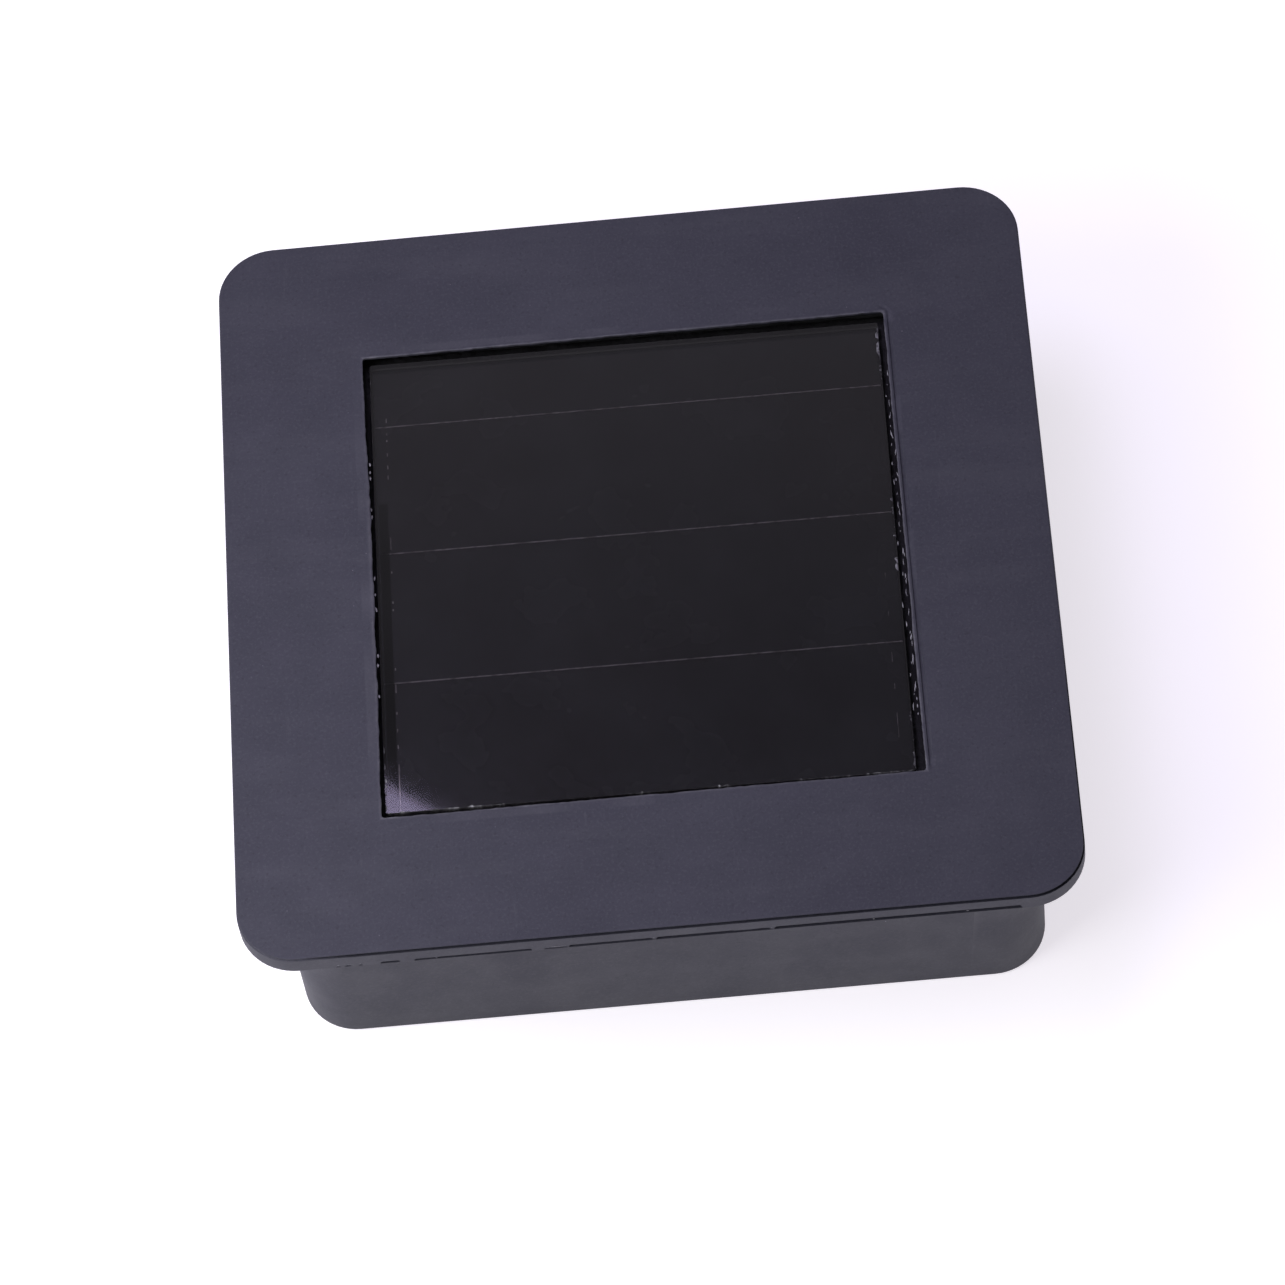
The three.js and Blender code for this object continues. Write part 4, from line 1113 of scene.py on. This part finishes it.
def make_glass():
    def chipped(depth, drop):
        def nudge(side, s):
            bite = chipping(side, s) * fade(s, PANE_HALF, 1)
            return (-depth * bite, -drop * bite)
        return nudge

    rings = (
        (0.25, 0.3, PANE_BOTTOM, None),
        (0, 0.5, PANE_BOTTOM + 0.25, chipped(0.1, 0)),
        (0, 0.5, PANE_TOP - 0.55, chipped(0.1, 0)),
        (0, 0.5, PANE_TOP - 0.1, chipped(0.15, 0.2)),
        (0.02, 0.48, PANE_TOP - 0.03, chipped(0.35, 0.12)),
        (0.05, 0.46, PANE_TOP, chipped(0.6, 0)),
    )
    glass = in_window(loft([square_loop(PANE_HALF - inward, corner, z, PANE_STRAIGHT, 4, nudge)
                            for inward, corner, z, nudge in rings]))
    piece(glass, "solar_glass_cut", "pane_glass", ["solar_glass"], wear=glass_wear,
          materials=[PAINTS["pane_glass"], GROUND_GLASS])
    for face in glass.data.polygons:
        polished = len(face.vertices) > 4
        face.material_index = 0 if polished else 1
        face.use_smooth = not polished


ISOLATION_X = 44.75
UNDER_GLASS = PANE_BOTTOM - 0.01
LEFT_DASHES = ((36.0, 0.9), (33.1, 0.5), (31.6, 0.4), (28.6, 0.6), (25.9, 0.8), (23.7, 0.8),
               (9.5, 2.6), (3.4, 0.5), (-3.0, 0.4), (-4.6, 0.4), (-17.0, 0.5), (-21.0, 1.7),
               (-26.1, 0.5), (-29.7, 0.6), (-33.0, 0.8))
RIGHT_DASHES = ((-6.0, 1.2), (-14.0, 0.9), (-23.0, 2.0), (-29.0, 1.2), (-37.0, 5.0))
LINE_END = -36.6
MARGIN_ENDS = (-46.5, 18)


def under_glass(x0, x1, y0, y1, depth=0.03):
    return bar(x0, x1, y0, y1, UNDER_GLASS - depth, UNDER_GLASS)


def make_scribes():
    """The bare lines between the strips, the isolation lines beside them and the left margin."""
    reach = PANE_HALF - 0.5
    wide, narrow = 0.2, 0.1
    lines = [under_glass(-reach, reach, y - wide / 2, y + wide / 2, 0.13) for y in STRIP_EDGES]
    for place, dashes, width in ((-ISOLATION_X, LEFT_DASHES, wide), (ISOLATION_X, RIGHT_DASHES, narrow)):
        for k, (y, length) in enumerate(dashes):
            x = place + 0.05 * rough(k, 61, 1.3)
            lines.append(under_glass(x - width / 2, x + width / 2, y - length / 2, y + length / 2))
    lines.append(under_glass(-ISOLATION_X - 0.09, -ISOLATION_X + 0.09, -reach, LINE_END))
    marks = in_window(joined(lines))
    piece(marks, "scribe_lines", "silicon_film", materials=[SCRIBE])

    margin = in_window(under_glass(-reach + 0.1, -ISOLATION_X - 0.3, *MARGIN_ENDS))
    piece(margin, "bare_margin", "sealant", materials=[BARE_BACKING])


def make_sealant():
    """The glue bead round the pane: laid by hand, so it swells and sags along its run."""
    inner = PANE_HALF + 0.12
    low = 39.75

    def lump(amount, seed, lift):
        def nudge(side, s):
            swell = rough(s, seed + side, 5.5) + 0.8 * rough(s, seed + side + 20, 1.1)
            return (amount * swell, lift * swell)
        return nudge

    rings = (
        (inner, 0.5, low, None),
        (50.1, 1.5, low, None),
        (50.1, 1.5, 40.3, lump(0.1, 70, 0.1)),
        (49.3, 1.2, 40.5, lump(0.2, 71, 0.15)),
        (48.6, 1.0, 40.7, lump(0.15, 72, 0.2)),
        (48.1, 0.8, 40.7, lump(0.08, 73, 0.2)),
        (inner, 0.5, 40.6, lump(0.03, 74, 0.15)),
    )
    bead = in_window(loft([square_loop(half, corner, z, PANE_STRAIGHT, 6, nudge)
                           for half, corner, z, nudge in rings], closed=True))
    piece(bead, "sealant_bead", "sealant", ["panel_sealant"], sharp=80)


def make_tabs():
    """Solder tabs with a domed joint where each lead lands."""
    for node, sign in (("solder_tab_positive", 1), ("solder_tab_negative", -1)):
        lo, hi = span(node)
        middle = (lo + hi) / 2
        tab = in_window(bar(-2.2, 2.2, sign * 34 - 1.6, sign * 34 + 1.6, lo.z, hi.z, 0.1))
        blob = turned([(0, lo.z - 0.45, 0), (0.9, lo.z - 0.35, 0.4), (1.5, lo.z + 0.1, 0.3),
                       (0, lo.z + 0.12, 0)], 24, middle.x + 1.3, middle.y)
        united(tab, [blob])
        piece(tab, node + "_tinned", "copper", [node])


# -------- leads

LEAD_ROUTE = ((0.0, 34, 39.7), (0.0, 34, 38.4), (0.1, 33.4, 36.7), (0.5, 31, 35.4),
              (1.4, 26, 34.9), (2.0, 20, 34.8), (1.2, 14, 35.0))
LEAD_END = ((0, 9.5, 35.4), (0, 8.2, 35.5))
LEAD_RADIUS = 0.7


def make_lead(node, slot, side):
    route = [Vector((PANE_MIDDLE.x + side * bow, side * y, z)) for bow, y, z in LEAD_ROUTE]
    route += [Vector((x, side * y, z)) for x, y, z in LEAD_END]
    curve = bpy.data.curves.new(node, "CURVE")
    curve.dimensions = "3D"
    curve.bevel_depth = LEAD_RADIUS * MM
    curve.bevel_resolution = 6
    curve.resolution_u = 10
    curve.use_fill_caps = True
    spline = curve.splines.new("NURBS")
    spline.points.add(len(route) - 1)
    for point, place in zip(spline.points, route):
        point.co = (*(place * MM), 1)
    spline.use_endpoint_u = True
    spline.order_u = 3
    lead = linked(node, curve)
    mesh = evaluated(lead)
    bpy.data.objects.remove(lead)
    piece(linked(node, mesh), node + "_insulated", slot, [node])


# -------- stage

def make_camera():
    """A long lens nearly in front, 30 degrees from straight down, rolled and a touch off centre."""
    width = 2 * COVER_HALF * MM
    azimuth, tilt, roll = (math.radians(a) for a in (4.07, 30.0, -8.62))
    data = bpy.data.cameras.new("camera")
    data.sensor_width = 36
    data.lens = 165.74
    data.clip_start = 10 * MM
    camera = linked("camera", data)
    turn = (Matrix.Rotation(azimuth, 4, "Z") @ Matrix.Rotation(tilt, 4, "X")
            @ Matrix.Rotation(roll, 4, "Z"))
    camera.matrix_world = (Matrix.Translation((0, 0, COVER_TOP * MM)) @ turn
                           @ Matrix.Translation(Vector((0.006, -0.099, 7.15)) * width))
    bpy.context.scene.camera = camera


def area_light(name, place, aim, size, watts, colour, spin=0.0):
    data = bpy.data.lights.new(name, "AREA")
    data.shape = "RECTANGLE"
    data.size, data.size_y = (length * MM for length in size)
    data.energy = watts
    data.color = colour
    facing = (Vector(aim) - Vector(place)).to_track_quat("-Z", "Y").to_matrix()
    linked(name, data).matrix_world = (Matrix.Translation(Vector(place) * MM)
                                       @ (facing @ Matrix.Rotation(spin, 3, "Z")).to_4x4())


def make_stage():
    reach, sunk = 4000, -0.02
    floor = shape([(-reach, -reach, sunk), (reach, -reach, sunk), (reach, reach, sunk),
                   (-reach, reach, sunk)], [(0, 1, 2, 3)])
    floor.name = "floor"
    floor.data.materials.append(floor_paint())
    area_light("key_softbox", place=(-364, 334, 1240), aim=(-364, 334, 0), size=(700, 700),
               watts=7.1, colour=(0.765, 0.68, 1.0), spin=math.radians(52.1))
    area_light("near_softbox", place=(-260, -130, 300), aim=(-20, 0, 40), size=(300, 220),
               watts=1.25, colour=(0.97, 0.97, 1.0))
    make_world()
    bpy.context.scene.view_settings.view_transform = "Standard"


def make_world():
    """A pale room: bright round the horizon, dim overhead, with a paler ring that the pane mirrors."""
    world = bpy.data.worlds.new("studio")
    world.use_nodes = True
    bpy.context.scene.world = world
    tree = world.node_tree
    place = tree.nodes.new("ShaderNodeTexCoord")
    axes = tree.nodes.new("ShaderNodeSeparateXYZ")
    ramp = tree.nodes.new("ShaderNodeValToRGB")
    tones = ramp.color_ramp
    for height, tone in ((0.22, 0.46), (0.45, 0.21), (0.74, 0.24), (0.84, 0.37), (0.872, 0.165)):
        stop = tones.elements.new(height)
        stop.color = (tone * 0.97, tone * 0.94, tone, 1)
    tones.elements[0].color = (0.46, 0.45, 0.475, 1)
    tones.elements[-1].color = (0.142, 0.137, 0.15, 1)
    tree.links.new(place.outputs["Generated"], axes.inputs["Vector"])
    tree.links.new(axes.outputs["Z"], ramp.inputs["Fac"])
    tree.links.new(ramp.outputs["Color"], tree.nodes["Background"].inputs["Color"])


# -------- assembly

make_camera()
make_stage()
make_cover()
make_swarf()
make_housing()
make_grille()
make_impeller()
make_bracket()
make_motor()
make_coils()
make_screws()
make_glass()
make_scribes()
make_sealant()
make_tabs()
make_lead("lead_positive", "red_pvc", 1)
make_lead("lead_negative", "black_pvc", -1)

for node in ("panel_tray", "tray_gasket", "panel_tape", "panel_back_coat"):
    refined(node, 0.12)
for node in ("magnet_left", "magnet_right"):
    refined(node, 0.25)
for node in ("brush_positive", "brush_negative", "terminal_positive", "terminal_negative"):
    refined(node, 0.06)
refined("armature_core", 0.08, "rotor")
refined("commutator", 0.05, "rotor")

for node, obj in frame["nodes"].items():
    obj.data.materials.clear()
    obj.data.materials.append(PAINTS[slot_of(node)])
